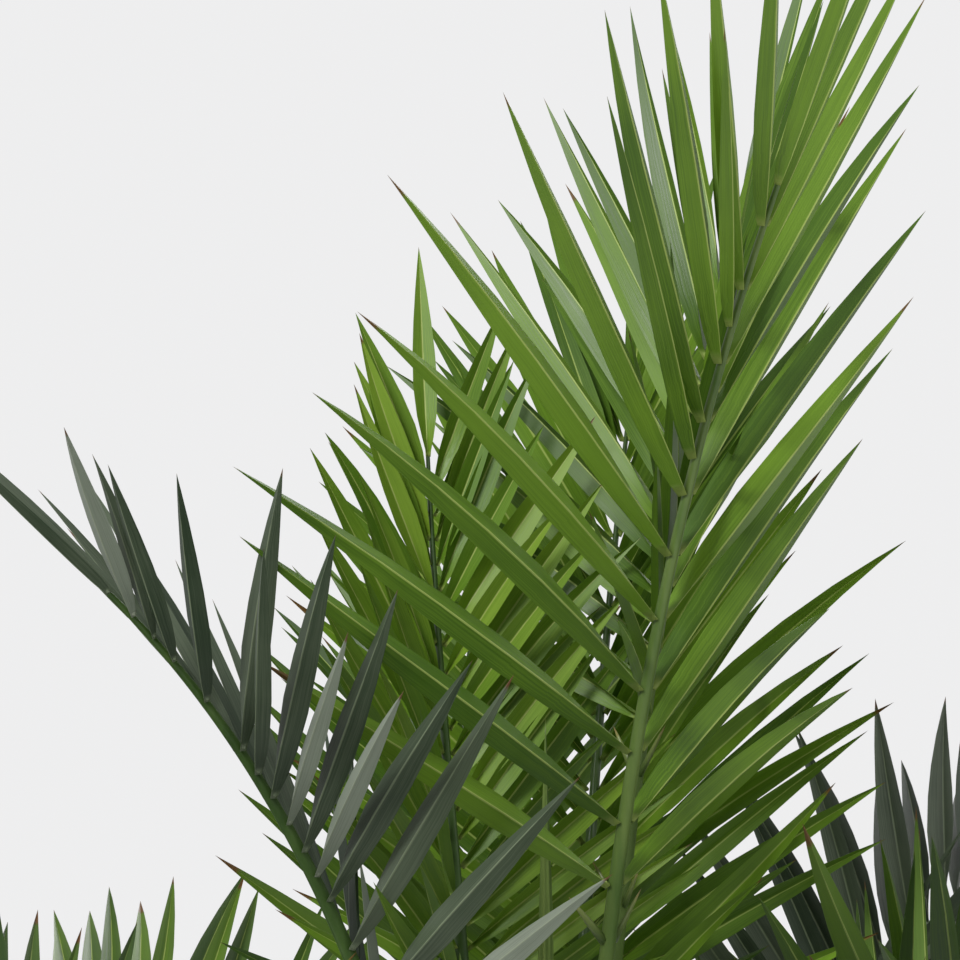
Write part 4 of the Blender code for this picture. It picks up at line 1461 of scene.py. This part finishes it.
def spine_seats():
    """The seats of all spines that were left standing, each sunk a little into its stalk."""
    seats = []
    for order, stations in settled.items():
        path, _ = paths[order]
        for station in stations:
            for place, hand in enumerate(HANDS):
                made = station["pair"][place]
                if not station["spine"] or not made:
                    continue
                start, direction, width, face = leaflet_frame(path, station["share"], hand, made)
                seats.append({
                    "seat": start - direction * SPINE_SUNK,
                    "reach": direction * (made["length"] + SPINE_SUNK),
                    "width": width * SPINE_HALF_WIDTH, "height": face * SPINE_HALF_HEIGHT,
                    "tone": 0.5, "variant": 0,
                })
    return seats


spine_skin, spine_tree = plain_material("spine_skin", roughness=0.38)
_, spine_along = blade_place(spine_tree)
spine_grain = grain(spine_tree, scale=160.0, detail=3.0)
spine_tone = plus(spine_tree, spine_along, times(spine_tree, spine_grain, 0.15))
feed_shader(spine_tree, ramp(spine_tree, spine_tone, SPINE_COLOURS),
            eased(spine_tree, spine_grain, (0.3, 0.7), (0.32, 0.48)), bump=(spine_grain, 0.2, 0.0004))
spines = set_on_seats("stalk_spines", spine_seats(), [spine_shape()], spine_skin)
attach(spines, "root")

# Spear leaf
# The newest leaf, not yet open: its leaflets are still packed round their stalk in one upright,
# pleated point. It grows out of the very tip of the stem.

SPEAR_LENGTH = 0.47
SPEAR_RADIUS = 0.0075
SPEAR_SUNK = 0.004
SPEAR_ROWS, SPEAR_SIDES = 40, 56
SPEAR_PROFILE = [(0.8, 0.0), (1.0, 0.12), (0.85, 0.45), (0.5, 0.78), (0.0, 1.0)]
SPEAR_GREENS = [(0.35, (0.110, 0.190, 0.035)), (0.65, (0.300, 0.400, 0.100))]


def spear_rows():
    """The spear's profile from foot to tip, straight between the points of its outline."""
    foot = TRUNK_TIP - SPEAR_SUNK
    rows = [(0, foot)]
    for step in range(SPEAR_ROWS):
        share = step / SPEAR_ROWS
        low = max(index for index, (_, start) in enumerate(SPEAR_PROFILE) if start <= share)
        (first, start), (second, end) = SPEAR_PROFILE[low], SPEAR_PROFILE[low + 1]
        width = lerp(first, second, (share - start) / (end - start))
        rows.append((SPEAR_RADIUS * width, foot + SPEAR_LENGTH * share))
    rows.append((0, foot + SPEAR_LENGTH))
    return rows


def spear_pleats(angle, height, radius):
    """Seven broad pleats that wind a little up the spear, with finer ones on them."""
    return radius * (0.86 + 0.16 * math.cos(7 * angle + 9 * height) + 0.05 * math.cos(21 * angle))


spear_skin, spear_tree = plain_material("spear_skin", roughness=0.42)
spear_streaks = grain(spear_tree, scale=150.0, detail=4.0, stretch=(1, 1, 0.06))
feed_shader(spear_tree, ramp(spear_tree, spear_streaks, SPEAR_GREENS),
            eased(spear_tree, spear_streaks, (0.3, 0.7), (0.36, 0.5)), bump=(spear_streaks, 0.3, 0.0005))
spear = mesh_piece("folded_spear", *turned(spear_rows(), SPEAR_SIDES, spear_pleats), [spear_skin])
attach(spear, "root")
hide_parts("spear_leaf")

# Sheath fibre
# Loose rust-brown threads that fray from the frond feet, where each sheath wraps the next one in.
# They are the tough veins of the sheath, left when its soft part has dried and worn away.

FIBRE_COUNT = 260
FIBRE_SEED = 77
FIBRE_STEPS = 7
FIBRE_SIDES = 4
FIBRE_FLATNESS = 0.7
FIBRE_HALVES = (0.00042, 0.00012)
FIBRE_RUSTS = [(0.1, (0.070, 0.030, 0.012)), (0.5, (0.220, 0.095, 0.035)), (0.9, (0.420, 0.250, 0.110))]


def fibre_lines():
    """Threads that start on the edges of the frond feet, wander outwards and sink a little."""
    draw = random.Random(FIBRE_SEED)
    lines = []
    for _ in range(FIBRE_COUNT):
        path, _ = paths[draw.randrange(2, FROND_COUNT)]
        place, along, side, upper = point_on(path, draw.uniform(0.0, 0.10))
        hand = draw.choice((-1, 1))
        here = place + side * hand * 0.009 - along * 0.004
        heading = unit(along + side * hand * draw.uniform(0.1, 1.0) + upper * draw.uniform(-0.4, 0.5))
        length = draw.uniform(0.020, 0.075)
        rows = []
        for step in range(FIBRE_STEPS + 1):
            share = step / FIBRE_STEPS
            rows.append((here.copy(), lerp(*FIBRE_HALVES, share), upper, share))
            wander = np.array([draw.uniform(-0.35, 0.35) for _ in range(3)])
            heading = unit(heading + wander + (0, 0, -0.05 * step))
            here = here + heading * length / FIBRE_STEPS
        lines.append({"rows": rows, "tone": draw.random()})
    return lines


fibre_skin, fibre_tree = plain_material("sheath_fibre", roughness=0.9, specular=0.2)
fibre_grain = grain(fibre_tree, scale=300.0, detail=3.0)
fibre_tone = plus(fibre_tree, times(fibre_tree, fibre_grain, 0.4),
                  times(fibre_tree, read_attribute(fibre_tree, "tone", "Fac"), 0.6))
feed_shader(fibre_tree, ramp(fibre_tree, fibre_tone, FIBRE_RUSTS),
            eased(fibre_tree, fibre_grain, (0.3, 0.7), (0.8, 0.95)), bump=(fibre_grain, 0.3, 0.0003))
fibres = swept("sheath_fibres", fibre_lines(), FIBRE_SIDES, FIBRE_FLATNESS, fibre_skin)
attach(fibres, "root")
